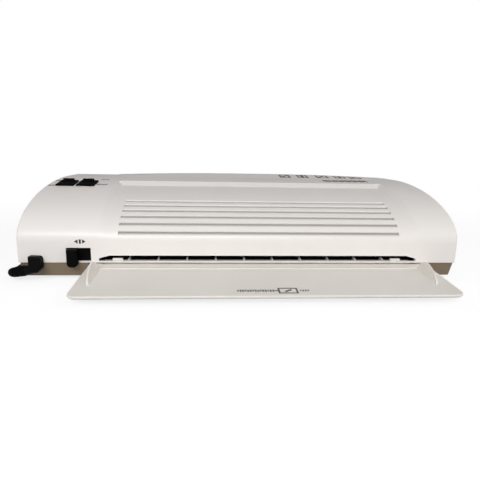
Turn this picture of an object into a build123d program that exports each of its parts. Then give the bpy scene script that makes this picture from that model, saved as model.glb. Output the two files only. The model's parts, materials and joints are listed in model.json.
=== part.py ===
from build123d import *
import math
import os

# A desk-top pouch laminator for sheets up to A4, seen from its exit side.
# X runs along the machine, Y from the exit side to the feed side, Z up, in millimetres.
# Everything is modelled from the front plane of the cover (Y = 0) and the seam between
# cover and base (Z = 0), and is moved at the end so that the origin lies on the table,
# under the middle of the machine with its tray open.

# Body
BODY_WIDTH = 335.0
BODY_DEPTH = 170.0
COVER_HEIGHT = 56.4
NOSE_HEIGHT = 16.0
CREST_REACH = 124.0
BACK_ROUND = 18.0
BASE_HEIGHT = 11.5
BASE_SLOPE = 4.5
BASE_MARGIN = 0.8
WALL = 2.4
END_ROUND = 1.2
CROWN_RISE = 3.0
CROWN_FRONT_Y = 98.0
CROWN_START_DROP = 1.2
CROWN_LEFT_X = -125.0
CROWN_RIGHT_X = 163.0
FOOT_HEIGHT = 3.0
FOOT_RADIUS = 7.0
FOOT_INSET_X = 20.0
FOOT_INSET_Y = 26.0

# Path of the pouch, which falls towards the exit
LEFT_SPACE = 58.5
RIGHT_SPACE = 32.5
PATH_WIDTH = BODY_WIDTH - LEFT_SPACE - RIGHT_SPACE
PATH_CENTRE_X = (LEFT_SPACE - RIGHT_SPACE) / 2
PASS_EXIT_Z = 3.1
PATH_ANGLE = 8.0

# Front panel, its louvres and the exit slot
PANEL_DEPTH = 3.2
PANEL_EXTRA = 0.15
PANEL_MARGIN = 1.5
PANEL_TOP_Y = 80.6
PANEL_RAMP = 7.0
PANEL_CORNER = 6.0
PANEL_SIDE = 4.5
LOUVRE_COUNT = 6
LOUVRE_PITCH = 8.1
LOUVRE_START = 8.6
LOUVRE_MARGIN = 14.5
LOUVRE_LENGTH = PATH_WIDTH - 2 * LOUVRE_MARGIN
LOUVRE_DEPTH = 1.4
LOUVRE_RUN = 5.2
LOUVRE_SLANT = 1.0
SLOT_HEIGHT = 4.4
SLOT_STRIP = 1.0
SLOT_END_DROP = 2.2
SLOT_END_RUN = 8.0
FEED_SLOT_HEIGHT = 9.0
GUIDE_LEG_GAP = 8.0
GUIDE_LEG_INSET = 20.0
GUIDE_POST_INSET = 32.0

# Tray in front of the slot
TRAY_PAST_LEFT = 7.5
TRAY_PAST_RIGHT = 9.2
TRAY_LEFT_X = PATH_CENTRE_X - PATH_WIDTH / 2 - TRAY_PAST_LEFT
TRAY_WIDTH = PATH_WIDTH + TRAY_PAST_LEFT + TRAY_PAST_RIGHT
TRAY_REACH = 55.3
TRAY_THICK = 2.3
TRAY_TOP_Z = -1.4
TRAY_ANGLE = 5.9
TRAY_CORNER = 5.8
TRAY_RIM = 0.7
TRAY_UNDERCUT = 0.8
TRAY_GAP = 0.6
TRAY_BACK = 1.3
STRIP_BACK = 1.2
STRIP_FRONT = 9.0
STRIP_HEIGHT = 0.35
HINGE_Y = 3.8
HINGE_DROP = 2.6
HINGE_RADIUS = 2.2
HINGE_PIN_RADIUS = 1.0
KNUCKLE_LENGTH = 9.0
FIN_INSET_LEFT = 9.6
FIN_INSET_RIGHT = 11.6
FIN_LEFT_X = TRAY_LEFT_X + FIN_INSET_LEFT
FIN_RIGHT_X = TRAY_LEFT_X + TRAY_WIDTH - FIN_INSET_RIGHT
FIN_THICK = 1.7
FIN_LEAN = 20.0
FIN_HEIGHT = 8.3
FIN_BACK = 11.0
FIN_REACH = 39.0
RECESS_DEPTH = 9.5
RECESS_WALL_TOP = -2.6
CHEEK_TOP = -0.4

# Exit guide
RIB_COUNT = 10
RIB_MARGIN_LEFT = 21.4
RIB_MARGIN_RIGHT = 24.96
RIB_FIRST_X = PATH_CENTRE_X - PATH_WIDTH / 2 + RIB_MARGIN_LEFT
RIB_PITCH = (PATH_WIDTH - RIB_MARGIN_LEFT - RIB_MARGIN_RIGHT) / (RIB_COUNT - 1)
RIB_THICK = 1.3
RIB_DEPTH = 16.0
GUIDE_GAP = 0.35
BLOCK_WIDTH = 7.6
BLOCK_MARGIN_LEFT = 13.3
BLOCK_MARGIN_RIGHT = 15.4

# Frame, rollers and hot plates, placed along the path
PLATE_MARGIN = 4.5
PLATE_SPAN = PATH_WIDTH + 2 * PLATE_MARGIN
PLATE_THICK = 1.5
PLATE_FRONT_Y = 15.0
PLATE_BACK_Y = 118.0
PLATE_TOP_Z = 38.5
FLANGE_WIDTH = 9.0
EXIT_ROLLER_S = 28.0
EXIT_ROLLER_RADIUS = 7.0
HOT_ROLLER_S = 64.0
HOT_ROLLER_RADIUS = 9.0
NIP_GAP = 0.3
SHAFT_RADIUS = 3.0
SHAFT_GAP = 0.05
SHAFT_END = 4.0
SLEEVE_GAP = 2.0
BUSH_RADIUS = 4.6
BUSH_HALF = 4.9
BUSH_FLANGE = 1.6
BUSH_LENGTH = 5.0
BUSH_FIT = 0.15
SPRING_HEIGHT = 7.0
SPRING_RADIUS = 2.6
SPRING_WIRE = 0.4
SPRING_TURNS = 4
HOT_PLATE_S = 77.0
HOT_PLATE_LENGTH = 35.0
HOT_PLATE_THICK = 6.0
HOT_PLATE_GAP = 2.4
HEATER_WIDTH = 14.0
HEATER_THICK = 2.4
HEATER_MARGIN = 17.0
HEATER_LENGTH = PATH_WIDTH - 2 * HEATER_MARGIN
BAR_RADIUS = 3.0
BAR_PLACES = ((46.5, -8.5), (100.5, 16.0), (104.0, -14.5))

# Gear train on the left
GEAR_MODULE = 1.0
HOT_TEETH = 18
EXIT_TEETH = 14
IDLER_TEETH = 24
PINION_TEETH = 12
GEAR_STANDOFF = 12.0
GEAR_WIDTH = 6.0
PRESSURE_ANGLE = 25.0
ADDENDUM = 0.85
DEDENDUM = 1.15
BACKLASH = 0.18
PINION_BEARING = -80.0

# Release slide, motor and bracket
RELEASE_TRAVEL = 6.5
SLIDER_GAP = 1.0
SLIDER_THICK = 3.0
AXLE_RADIUS = 2.0
ROD_RADIUS = 1.5
ROD_Y = 24.0
ROD_Z = 29.0
WINDOW_INSET = 35.0
WINDOW_WIDTH = 18.0
WINDOW_TOP = 11.2
KNOB_WIDTH = 7.6
KNOB_INSET = 1.3
STEM_INSET = 1.9
KNOB_REACH = 5.2
KNOB_HANG = 2.8
STEM_WIDTH = 6.4
MOTOR_RADIUS = 23.5
MOTOR_LENGTH = 19.0
MOTOR_Y = 38.5
MOTOR_Z = 14.5
MOTOR_SHAFT_RADIUS = 2.5
EAR_REACH = 27.0
EAR_RADIUS = 4.0

# Rocker switches on the top, left
SWITCH_INSET = 15.7
SWITCH_PITCH = 17.3
SWITCH_Y = 71.5
SWITCH_WIDTH = 15.0
SWITCH_LENGTH = 17.4
SWITCH_BEZEL = 1.5
SWITCH_BODY_DEPTH = 14.0
SWITCH_FIT = 0.2
ROCKER_WIDTH = 9.4
ROCKER_RADIUS = 6.8
ROCKER_TILT = 9.0
ROCKER_GAP = 0.35
NUB_RADIUS = 1.0

# Fastening
BOSS_RADIUS = 3.8
SCREW_RADIUS = 1.45
SCREW_HEAD_RADIUS = 2.9
SCREW_HEAD_HEIGHT = 2.0
SCREW_REACH = 9.0
SCREW_FIT = 0.06
SCREW_BACK_INSET = 13.0

# Mains lead, which lies coiled behind the machine
CORD_RADIUS = 2.5
BOOT_INSET = 9.5
BOOT_WIDTH = 9.0
BOOT_HEIGHT = 12.0
BOOT_TOP = 5.6
BOOT_REACH = 6.2
BOOT_FLANGE_Y = 7.8
BOOT_CORD_Y = -3.0
BOOT_CORD_Z = -4.575
BOOT_CORD_DROP = 12.0
SNOUT_LENGTH = 3.545
SNOUT_WALL = 1.0
COIL_INSET = 55.5
COIL_BEHIND = 52.0
COIL_TURN_GAP = 0.6
COIL_INNER_RADIUS = 20.5
COIL_HALF_TURNS = 6
TIE_THICK = 0.9
TIE_GAP = 0.3
TIE_WIDTH = 5.0
PLUG_LENGTH = 34.0
PLUG_WIDTH = 27.0
PLUG_ROUND = 4.0
PIN_RADIUS = 2.0
PIN_LENGTH = 19.0
PIN_SPACING = 18.6

TRAY_TOP_AT_HINGE = TRAY_TOP_Z + HINGE_Y * math.tan(math.radians(TRAY_ANGLE))
HINGE_Z = TRAY_TOP_AT_HINGE - HINGE_DROP
LEFT_END_X = -BODY_WIDTH / 2
WINDOW_LEFT_X = LEFT_END_X + WINDOW_INSET
SWITCH_X = (LEFT_END_X + SWITCH_INSET, LEFT_END_X + SWITCH_INSET + SWITCH_PITCH)
BOOT_LEFT_X = LEFT_END_X + BOOT_INSET
COIL_X = LEFT_END_X + COIL_INSET
COIL_Y = BODY_DEPTH + COIL_BEHIND
SLOT_LEFT_X = PATH_CENTRE_X - PATH_WIDTH / 2
SLOT_RIGHT_X = PATH_CENTRE_X + PATH_WIDTH / 2
BLOCK_X = (SLOT_LEFT_X + BLOCK_MARGIN_LEFT, SLOT_RIGHT_X - BLOCK_MARGIN_RIGHT)
PLATE_LEFT_X = PATH_CENTRE_X - PLATE_SPAN / 2
PLATE_RIGHT_X = PATH_CENTRE_X + PLATE_SPAN / 2
GEAR_RIGHT_X = PLATE_LEFT_X - PLATE_THICK - GEAR_STANDOFF
GEAR_LEFT_X = GEAR_RIGHT_X - GEAR_WIDTH
ARM_RIGHT_X = GEAR_LEFT_X - SLIDER_GAP
ARM_LEFT_X = ARM_RIGHT_X - SLIDER_THICK
BRACKET_RIGHT_X = ARM_LEFT_X - SLIDER_GAP
BRACKET_LEFT_X = BRACKET_RIGHT_X - PLATE_THICK
TABLE_Z = -BASE_HEIGHT - FOOT_HEIGHT
FLOOR_Z = WALL - BASE_HEIGHT
MIDDLE_Y = (BODY_DEPTH - TRAY_REACH) / 2
COIL_PITCH = 2 * CORD_RADIUS + COIL_TURN_GAP
COIL_LOW_Z = TABLE_Z + TIE_THICK + TIE_GAP + CORD_RADIUS
COIL_HIGH_Z = COIL_LOW_Z + COIL_PITCH
PATH = Location((0, 0, PASS_EXIT_Z), (PATH_ANGLE, 0, 0))


def save(shape, name):
    os.makedirs("parts", exist_ok=True)
    export_step(Pos(0, -MIDDLE_Y, -TABLE_Z) * shape, "parts/" + name + ".step")


def block(x0, x1, y0, y1, z0, z1):
    middle = Pos((x0 + x1) / 2, (y0 + y1) / 2, (z0 + z1) / 2)
    return middle * Box(x1 - x0, y1 - y0, z1 - z0)


def rod(x0, x1, y, z, radius):
    return Location((x0, y, z), (0, 90, 0)) * Cylinder(radius, x1 - x0, align=(Align.CENTER, Align.CENTER, Align.MIN))


def post(x, y, z0, z1, radius):
    return Pos(x, y, z0) * Cylinder(radius, z1 - z0, align=(Align.CENTER, Align.CENTER, Align.MIN))


def slab(points, x0, x1):
    """A flat plate whose outline is given in the YZ plane."""
    outline = make_face(Polyline(*points, close=True))
    return extrude(Plane.YZ.offset(x0) * outline, x1 - x0)


def on_path(s, h):
    """Y and Z of a place s along the pouch path and h above it."""
    turn = math.radians(PATH_ANGLE)
    y = s * math.cos(turn) - h * math.sin(turn)
    z = PASS_EXIT_Z + s * math.sin(turn) + h * math.cos(turn)
    return y, z


def cover_outline(inset, drop):
    """Section of the cover: upright nose, quarter ellipse, flat top and rounded back."""
    reach = CREST_REACH - inset
    rise = COVER_HEIGHT - NOSE_HEIGHT - inset - drop
    top = NOSE_HEIGHT + rise
    back = BODY_DEPTH - inset
    round_radius = BACK_ROUND - inset
    foot = -1.0 if inset else 0.0
    edges = [
        Line((inset, foot), (inset, NOSE_HEIGHT)),
        EllipticalCenterArc((CREST_REACH, NOSE_HEIGHT), reach, rise, 90, arc_size=90),
        Line((CREST_REACH, top), (back - round_radius, top)),
        CenterArc((back - round_radius, top - round_radius), round_radius, 0, 90),
        Line((back, top - round_radius), (back, foot)),
        Line((back, foot), (inset, foot)),
    ]
    return make_face(Wire(edges))


def cover_prism(x0, x1, inset=0.0, drop=0.0):
    return extrude(Plane.YZ.offset(x0) * cover_outline(inset, drop), x1 - x0)


def surface_height(y, drop=0.0):
    rise = COVER_HEIGHT - NOSE_HEIGHT - drop
    share = min(1.0, max(0.0, (CREST_REACH - y) / CREST_REACH))
    return NOSE_HEIGHT + rise * math.sqrt(1 - share * share)


def surface_slope(y):
    rise = COVER_HEIGHT - NOSE_HEIGHT
    share = (CREST_REACH - y) / CREST_REACH
    return math.degrees(math.atan(rise / CREST_REACH * share / math.sqrt(1 - share * share)))


def screw_places():
    left = -BODY_WIDTH / 2 + 15.5
    right = BODY_WIDTH / 2 - 12.5
    back = BODY_DEPTH - SCREW_BACK_INSET
    return [(left + 8.8, 9.4), (left, 98.0), (left, back), (right, 12.0), (right, 88.0), (right, back)]


def switch_frame(x):
    tilt = surface_slope(SWITCH_Y)
    return Location((x, SWITCH_Y, surface_height(SWITCH_Y)), (tilt, 0, 0))


def panel_pocket():
    left = SLOT_LEFT_X - PANEL_MARGIN
    right = SLOT_RIGHT_X + PANEL_MARGIN
    width = right - left
    depth_y = PANEL_TOP_Y + PANEL_RAMP
    plan = Pos((left + right) / 2, 0) * RectangleRounded(width, 2 * depth_y, PANEL_CORNER)
    tool = extrude(plan, 2 * COVER_HEIGHT)
    low = surface_height(PANEL_TOP_Y, PANEL_DEPTH)
    high = surface_height(depth_y)
    ramp = [(PANEL_TOP_Y, 0), (PANEL_TOP_Y, low), (depth_y, high), (depth_y + 1, high), (depth_y + 1, 0)]
    tool = tool - cover_prism(left - 1, right + 1, 0.0, PANEL_DEPTH) - slab(ramp, left - 1, right + 1)
    for edge, side in ((left, 1), (right, -1)):
        outer = Plane.YZ.offset(edge - side * 0.5) * cover_outline(0.0, -0.7)
        inner = Plane.YZ.offset(edge + side * PANEL_SIDE) * cover_outline(0.0, PANEL_DEPTH)
        tool = tool - loft([outer, inner], ruled=True)
    return tool


def crown():
    """Low swell of the top's rear part between the switches and the right end."""
    swell_y = BODY_DEPTH - BACK_ROUND - 1.0
    back = swell_y + BACK_ROUND
    high = COVER_HEIGHT + CROWN_RISE
    low = COVER_HEIGHT - BACK_ROUND
    start = surface_height(CROWN_FRONT_Y) - CROWN_START_DROP
    rising = [
        Line((CROWN_FRONT_Y, low), (CROWN_FRONT_Y, start)),
        Line((CROWN_FRONT_Y, start), (swell_y, high)),
        CenterArc((swell_y, high - BACK_ROUND), BACK_ROUND, 0, 90),
        Line((back, high - BACK_ROUND), (back, low)),
        Line((back, low), (CROWN_FRONT_Y, low)),
    ]
    swell = extrude(Plane.YZ.offset(CROWN_LEFT_X) * make_face(Wire(rising)), CROWN_RIGHT_X - CROWN_LEFT_X)
    middle = (CROWN_LEFT_X + CROWN_RIGHT_X) / 2
    across = [
        ThreePointArc((CROWN_LEFT_X, COVER_HEIGHT), (middle, COVER_HEIGHT + CROWN_RISE), (CROWN_RIGHT_X, COVER_HEIGHT)),
        Line((CROWN_RIGHT_X, COVER_HEIGHT), (CROWN_RIGHT_X, low - 1)),
        Line((CROWN_RIGHT_X, low - 1), (CROWN_LEFT_X, low - 1)),
        Line((CROWN_LEFT_X, low - 1), (CROWN_LEFT_X, COVER_HEIGHT)),
    ]
    under = extrude(Plane.XZ * make_face(Wire(across)), -(BODY_DEPTH + 1))
    return swell & under


def louvre_tools():
    """Wedge grooves, deepest under their upper lip, spaced evenly along the panel's curve."""
    rise = COVER_HEIGHT - NOSE_HEIGHT - PANEL_DEPTH
    curve = EllipticalCenterArc((CREST_REACH, NOSE_HEIGHT), CREST_REACH, rise, 90, arc_size=90)
    left = PATH_CENTRE_X - LOUVRE_LENGTH / 2
    over = 0.8
    tools = []
    for k in range(LOUVRE_COUNT):
        run = LOUVRE_START + k * LOUVRE_PITCH
        share = 1 - run / curve.length
        spot = curve.position_at(share)
        along = curve.tangent_at(share)
        if along.Y < 0:
            along = -along
        across = Vector(-along.Y, along.X)
        lip = spot
        floor = spot - across * LOUVRE_DEPTH - along * LOUVRE_SLANT
        end = spot - along * LOUVRE_RUN
        points = [lip + across * over, floor, end, end + across * over]
        tools.append(slab([(p.X, p.Y) for p in points], left, left + LOUVRE_LENGTH))
    return tools


def window_tool():
    y0, y1 = -1.0, WALL + 1.0
    return block(WINDOW_LEFT_X, WINDOW_LEFT_X + WINDOW_WIDTH, y0, y1, SLOT_STRIP, WINDOW_TOP)


def slot_tool():
    top = SLOT_STRIP + SLOT_HEIGHT
    low = top - SLOT_END_DROP
    points = [
        (SLOT_LEFT_X, SLOT_STRIP),
        (SLOT_LEFT_X, low),
        (SLOT_LEFT_X + SLOT_END_RUN, top),
        (SLOT_RIGHT_X - SLOT_END_RUN, top),
        (SLOT_RIGHT_X, low),
        (SLOT_RIGHT_X, SLOT_STRIP),
    ]
    front = Plane.XZ.offset(1.0) * make_face(Polyline(*points, close=True))
    return extrude(front, -(WALL + 2.0))


def feed_slot_tool():
    y, z = on_path(BODY_DEPTH / math.cos(math.radians(PATH_ANGLE)), 0)
    z0 = z - 3.7
    return block(SLOT_LEFT_X, SLOT_RIGHT_X, BODY_DEPTH - WALL - 1, BODY_DEPTH + 1, z0, z0 + FEED_SLOT_HEIGHT)


def boot_neck(margin):
    """Waist of the cord's boot, which sits in a notch across the seam."""
    inset = 2.2 - margin
    x0 = BOOT_LEFT_X + inset
    x1 = BOOT_LEFT_X + BOOT_WIDTH - inset
    return block(x0, x1, -2.0, BOOT_FLANGE_Y, BOOT_TOP - BOOT_HEIGHT + inset, BOOT_TOP - inset)


def top_cover():
    half = BODY_WIDTH / 2
    solid = cover_prism(-half, half)
    rims = [e for e in solid.edges() if abs(abs(e.center().X) - half) < 0.01 and e.center().Z > 0.1]
    solid = fillet(rims, END_ROUND) + crown()
    pocket = panel_pocket()
    left = SLOT_LEFT_X - PANEL_MARGIN
    right = SLOT_RIGHT_X + PANEL_MARGIN
    filled = solid - pocket
    shell = filled - cover_prism(-half + WALL, left - WALL, WALL)
    shell -= cover_prism(right + WALL, half - WALL, WALL)
    shell -= cover_prism(left - WALL, right + WALL, WALL + PANEL_EXTRA, PANEL_DEPTH)
    behind = PANEL_TOP_Y + PANEL_RAMP + WALL
    rear = block(left - WALL, right + WALL, behind, BODY_DEPTH, -1, COVER_HEIGHT)
    shell -= rear & cover_prism(left - WALL, right + WALL, WALL)
    for x, y in screw_places():
        boss = post(x, y, 0, COVER_HEIGHT, BOSS_RADIUS) & filled
        shell = shell + boss - post(x, y, -1, SCREW_REACH, SCREW_RADIUS + SCREW_FIT)
    for tool in louvre_tools():
        shell -= tool
    shell -= window_tool()
    shell -= slot_tool()
    shell -= feed_slot_tool()
    shell -= boot_neck(SCREW_FIT)
    for x in SWITCH_X:
        hole = Box(SWITCH_WIDTH - 2 + 2 * SWITCH_FIT, SWITCH_LENGTH - 2 + 2 * SWITCH_FIT, 30)
        shell -= switch_frame(x) * hole
    return shell


def base_section(inset, top):
    low = -BASE_HEIGHT + inset
    back = BODY_DEPTH - BASE_MARGIN
    return [
        (BASE_MARGIN + inset, top),
        (BASE_MARGIN + BASE_SLOPE + inset, low),
        (back - BASE_SLOPE - inset, low),
        (back - inset, top),
    ]


def base_case():
    half = BODY_WIDTH / 2 - BASE_MARGIN
    solid = slab(base_section(0, 0), -half, half)
    corners = [e for e in solid.edges() if abs(abs(e.center().X) - half) < 0.01 and e.center().Z < -1]
    solid = fillet(corners, END_ROUND)
    shell = solid - slab(base_section(WALL, 0.5), -half + WALL, half - WALL)
    x0 = TRAY_LEFT_X - TRAY_GAP
    x1 = TRAY_LEFT_X + TRAY_WIDTH + TRAY_GAP
    back = RECESS_DEPTH + WALL
    cheeks = block(x0 - WALL, x1 + WALL, 0, back, -BASE_HEIGHT, RECESS_WALL_TOP)
    for x in (x0 - WALL, x1):
        cheeks += block(x, x + WALL, 0, back, -BASE_HEIGHT, CHEEK_TOP)
    shell = shell + (cheeks & solid)
    shell -= block(x0, x1, -1, RECESS_DEPTH, -BASE_HEIGHT - 1, 1)
    for x, y in screw_places():
        shell = shell + (post(x, y, -BASE_HEIGHT, 0, BOSS_RADIUS) & solid)
        shell -= post(x, y, -BASE_HEIGHT - 1, 1, SCREW_RADIUS + SCREW_FIT)
        shell -= post(x, y, -BASE_HEIGHT - 1, -BASE_HEIGHT + SCREW_HEAD_HEIGHT + 1, SCREW_HEAD_RADIUS + 0.3)
    for x, y in frame_screw_places():
        shell -= post(x, y, -BASE_HEIGHT - 1, 0, SCREW_RADIUS + SCREW_FIT)
    for x in (x0 - WALL - 0.3, x1 - 1.0):
        shell -= rod(x, x + WALL + 1.3, HINGE_Y, HINGE_Z, HINGE_PIN_RADIUS + 0.02)
    shell -= boot_neck(SCREW_FIT)
    return shell


def rubber_feet():
    feet = []
    for x in (-BODY_WIDTH / 2 + FOOT_INSET_X, BODY_WIDTH / 2 - FOOT_INSET_X):
        for y in (FOOT_INSET_Y, BODY_DEPTH - FOOT_INSET_Y):
            foot = post(x, y, TABLE_Z, -BASE_HEIGHT, FOOT_RADIUS)
            feet.append(chamfer(foot.edges().group_by(Axis.Z)[0], 0.8))
    return Compound(children=feet)


def screw(x, y, head_z, reach, up):
    """A pan-head screw standing upright, with its head below (up) or above."""
    if up:
        head = post(x, y, head_z, head_z + SCREW_HEAD_HEIGHT, SCREW_HEAD_RADIUS)
        shank = post(x, y, head_z + SCREW_HEAD_HEIGHT, head_z + SCREW_HEAD_HEIGHT + reach, SCREW_RADIUS)
        drive = post(x, y, head_z, head_z + 1.0, 1.2)
    else:
        head = post(x, y, head_z - SCREW_HEAD_HEIGHT, head_z, SCREW_HEAD_RADIUS)
        shank = post(x, y, head_z - SCREW_HEAD_HEIGHT - reach, head_z - SCREW_HEAD_HEIGHT, SCREW_RADIUS)
        drive = post(x, y, head_z - 1.0, head_z, 1.2)
    return head + shank - drive


def cover_screws():
    low = -BASE_HEIGHT + 1.0
    reach = SCREW_REACH - 1.0 - low - SCREW_HEAD_HEIGHT
    return Compound(children=[screw(x, y, low, reach, True) for x, y in screw_places()])


def frame_screw_places():
    xs = (PLATE_LEFT_X + FLANGE_WIDTH / 2, PLATE_RIGHT_X - FLANGE_WIDTH / 2)
    return [(x, y) for x in xs for y in (46.0, 104.0)]


def frame_screws():
    head_z = FLOOR_Z + PLATE_THICK + SCREW_HEAD_HEIGHT
    reach = PLATE_THICK + WALL - 0.4
    return Compound(children=[screw(x, y, head_z, reach, False) for x, y in frame_screw_places()])


def exit_guide():
    """Comb under the exit slot, with an apron that closes the gap behind the tray."""
    x0 = TRAY_LEFT_X - TRAY_GAP + GUIDE_GAP
    x1 = TRAY_LEFT_X + TRAY_WIDTH + TRAY_GAP - GUIDE_GAP
    bar_y0 = WALL + GUIDE_GAP
    bar_y1 = bar_y0 + 2.0
    apron_y0 = RECESS_DEPTH - 1.8
    top = SLOT_STRIP - 0.1
    comb_x0 = SLOT_LEFT_X + 4.0
    comb_x1 = SLOT_RIGHT_X - 4.0
    guide = block(comb_x0, comb_x1, bar_y0, bar_y1, -1.0, top)
    guide += block(comb_x0, comb_x1, bar_y0, RECESS_DEPTH, -1.8, -1.0)
    apron_low = HINGE_Z - 1.5
    guide += block(x0, x1, apron_y0, RECESS_DEPTH, apron_low, -1.0)
    rib_back = bar_y0 + RIB_DEPTH
    rib_top = on_path(rib_back, 0)[1] - 1.0
    back_low = rib_top - 6.0
    wall_back = RECESS_DEPTH + WALL + GUIDE_GAP
    rib = [
        (bar_y0, -1.0),
        (bar_y0, top),
        (rib_back, rib_top),
        (rib_back, back_low),
        (wall_back, back_low),
        (wall_back, RECESS_WALL_TOP),
        (RECESS_DEPTH, RECESS_WALL_TOP),
        (RECESS_DEPTH, -1.8),
    ]
    for k in range(RIB_COUNT):
        x = RIB_FIRST_X + k * RIB_PITCH
        guide += slab(rib, x - RIB_THICK / 2, x + RIB_THICK / 2)
    guide += block(comb_x0, comb_x1, wall_back, wall_back + 1.6, back_low, back_low + 1.0)
    for x in BLOCK_X:
        guide += block(x - BLOCK_WIDTH / 2, x + BLOCK_WIDTH / 2, bar_y0, bar_y1, -1.0, SLOT_STRIP + 1.5)
    return guide


def fin(x, lean):
    """Stiffening fin on the tray, leaning outwards, with a rounded front."""
    shoulder = (-FIN_BACK + 0.8, FIN_HEIGHT - 2.6)
    crest = (-FIN_BACK - 5.0, FIN_HEIGHT)
    middle = (-(FIN_BACK + FIN_REACH) / 2 - 1.8, FIN_HEIGHT - 2.2)
    toe = (-FIN_REACH + 2.8, 2.0)
    outline = Wire([
        Line((-FIN_BACK, -0.6), shoulder),
        Line(shoulder, crest),
        ThreePointArc(crest, middle, toe),
        Line(toe, (-FIN_REACH, -0.6)),
        Line((-FIN_REACH, -0.6), (-FIN_BACK, -0.6)),
    ])
    plate = extrude(Plane.YZ.offset(-FIN_THICK / 2) * make_face(outline), FIN_THICK)
    return Location((x, 0, 0), (0, lean, 0)) * plate


def exit_tray():
    """Plate with rounded front corners, a raised strip, two fins and a knuckle at each rear corner."""
    tilt = Location((0, HINGE_Y, HINGE_Z), (TRAY_ANGLE, 0, 0))
    lean = math.radians(TRAY_ANGLE)
    plate_top = HINGE_DROP * math.cos(lean)
    forward = TRAY_REACH + HINGE_Y - TRAY_RIM - (plate_top - TRAY_RIM) * math.sin(lean)
    front = -forward / math.cos(lean) - TRAY_RIM
    right = TRAY_LEFT_X + TRAY_WIDTH
    plate = block(TRAY_LEFT_X, right, front, 0, plate_top - TRAY_THICK, plate_top)
    corners = plate.edges().filter_by(Axis.Z).group_by(Axis.Y)[0]
    plate = fillet(corners, TRAY_CORNER)
    rim = plate.edges().group_by(Axis.Z)[-1].filter_by(lambda e: e.center().Y < -0.5)
    plate = fillet(rim, TRAY_RIM)
    underside = plate.edges().group_by(Axis.Z)[0].filter_by(lambda e: e.center().Y < -0.5)
    plate = chamfer(underside, TRAY_UNDERCUT)
    tab_left = TRAY_LEFT_X + KNUCKLE_LENGTH
    tab_right = right - KNUCKLE_LENGTH
    plate -= block(tab_left, tab_right, TRAY_BACK - HINGE_Y, 1, -HINGE_RADIUS, plate_top + 1)
    seat = Pos(0, -HINGE_Y, plate_top)
    plate += seat * fin(FIN_LEFT_X, -FIN_LEAN)
    plate += seat * fin(FIN_RIGHT_X, FIN_LEAN)
    strip = block(FIN_LEFT_X, FIN_RIGHT_X, -STRIP_FRONT, -STRIP_BACK, -0.4, STRIP_HEIGHT)
    strip = fillet(strip.edges().group_by(Axis.Z)[-1], 0.25)
    plate += seat * strip
    for x in (TRAY_LEFT_X, tab_right):
        plate += rod(x, x + KNUCKLE_LENGTH, 0, 0, HINGE_RADIUS)
        plate -= rod(x - 1, x + KNUCKLE_LENGTH + 1, 0, 0, HINGE_PIN_RADIUS + SHAFT_GAP)
    return tilt * plate


def tray_hinge_pins():
    right = TRAY_LEFT_X + TRAY_WIDTH
    inner = KNUCKLE_LENGTH - 1.0
    outer = TRAY_GAP + WALL
    pins = [
        rod(TRAY_LEFT_X - outer, TRAY_LEFT_X + inner, HINGE_Y, HINGE_Z, HINGE_PIN_RADIUS),
        rod(right - inner, right + outer, HINGE_Y, HINGE_Z, HINGE_PIN_RADIUS),
    ]
    return Compound(children=pins)


def feed_guide_lower():
    s0 = HOT_PLATE_S + HOT_PLATE_LENGTH + 1.5
    s1 = (BODY_DEPTH - 0.5) / math.cos(math.radians(PATH_ANGLE))
    x0 = SLOT_LEFT_X + GUIDE_GAP
    x1 = SLOT_RIGHT_X - GUIDE_GAP
    top = -HOT_PLATE_GAP / 2
    plate = PATH * block(x0, x1, s0, s1, top - 1.8, top)
    leg_y = BODY_DEPTH - GUIDE_LEG_INSET
    front_y = PLATE_BACK_Y + GUIDE_LEG_GAP
    leg_top = on_path(leg_y, top - 1.0)[1]
    for x in (x0, x1 - 3.0):
        leg = [(front_y, FLOOR_Z), (front_y, leg_top - 4.0), (leg_y, leg_top), (leg_y, FLOOR_Z)]
        plate += slab(leg, x, x + 3.0)
    return plate


def feed_guide_upper():
    s0 = HOT_PLATE_S + HOT_PLATE_LENGTH + 1.5
    s1 = (BODY_DEPTH - WALL - GUIDE_GAP) / math.cos(math.radians(PATH_ANGLE)) - 1.0
    x0 = SLOT_LEFT_X + GUIDE_GAP
    x1 = SLOT_RIGHT_X - GUIDE_GAP
    low = HOT_PLATE_GAP / 2
    flare = 4.6
    section = [(s0, low), (s1, low + flare), (s1, low + flare + 1.6), (s0, low + 1.6)]
    plate = PATH * slab(section, x0, x1)
    post_y = BODY_DEPTH - GUIDE_POST_INSET
    post_z = on_path(post_y, low + flare * 0.5 + 1.0)[1]
    ceiling = COVER_HEIGHT - WALL
    for x in (PATH_CENTRE_X - 80, PATH_CENTRE_X + 80):
        plate += post(x, post_y, post_z, ceiling, 4.0)
    return plate


def frame_outline():
    return [
        (PLATE_FRONT_Y, FLOOR_Z),
        (PLATE_FRONT_Y, ROD_Z - 1.5),
        (ROD_Y - 3.0, ROD_Z + 4.0),
        (56.0, PLATE_TOP_Z),
        (PLATE_BACK_Y, PLATE_TOP_Z),
        (PLATE_BACK_Y, FLOOR_Z),
    ]


def bush_stations():
    return [(EXIT_ROLLER_S, EXIT_ROLLER_RADIUS), (HOT_ROLLER_S, HOT_ROLLER_RADIUS)]


def spring_seat(radius):
    return radius + BUSH_HALF


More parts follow.
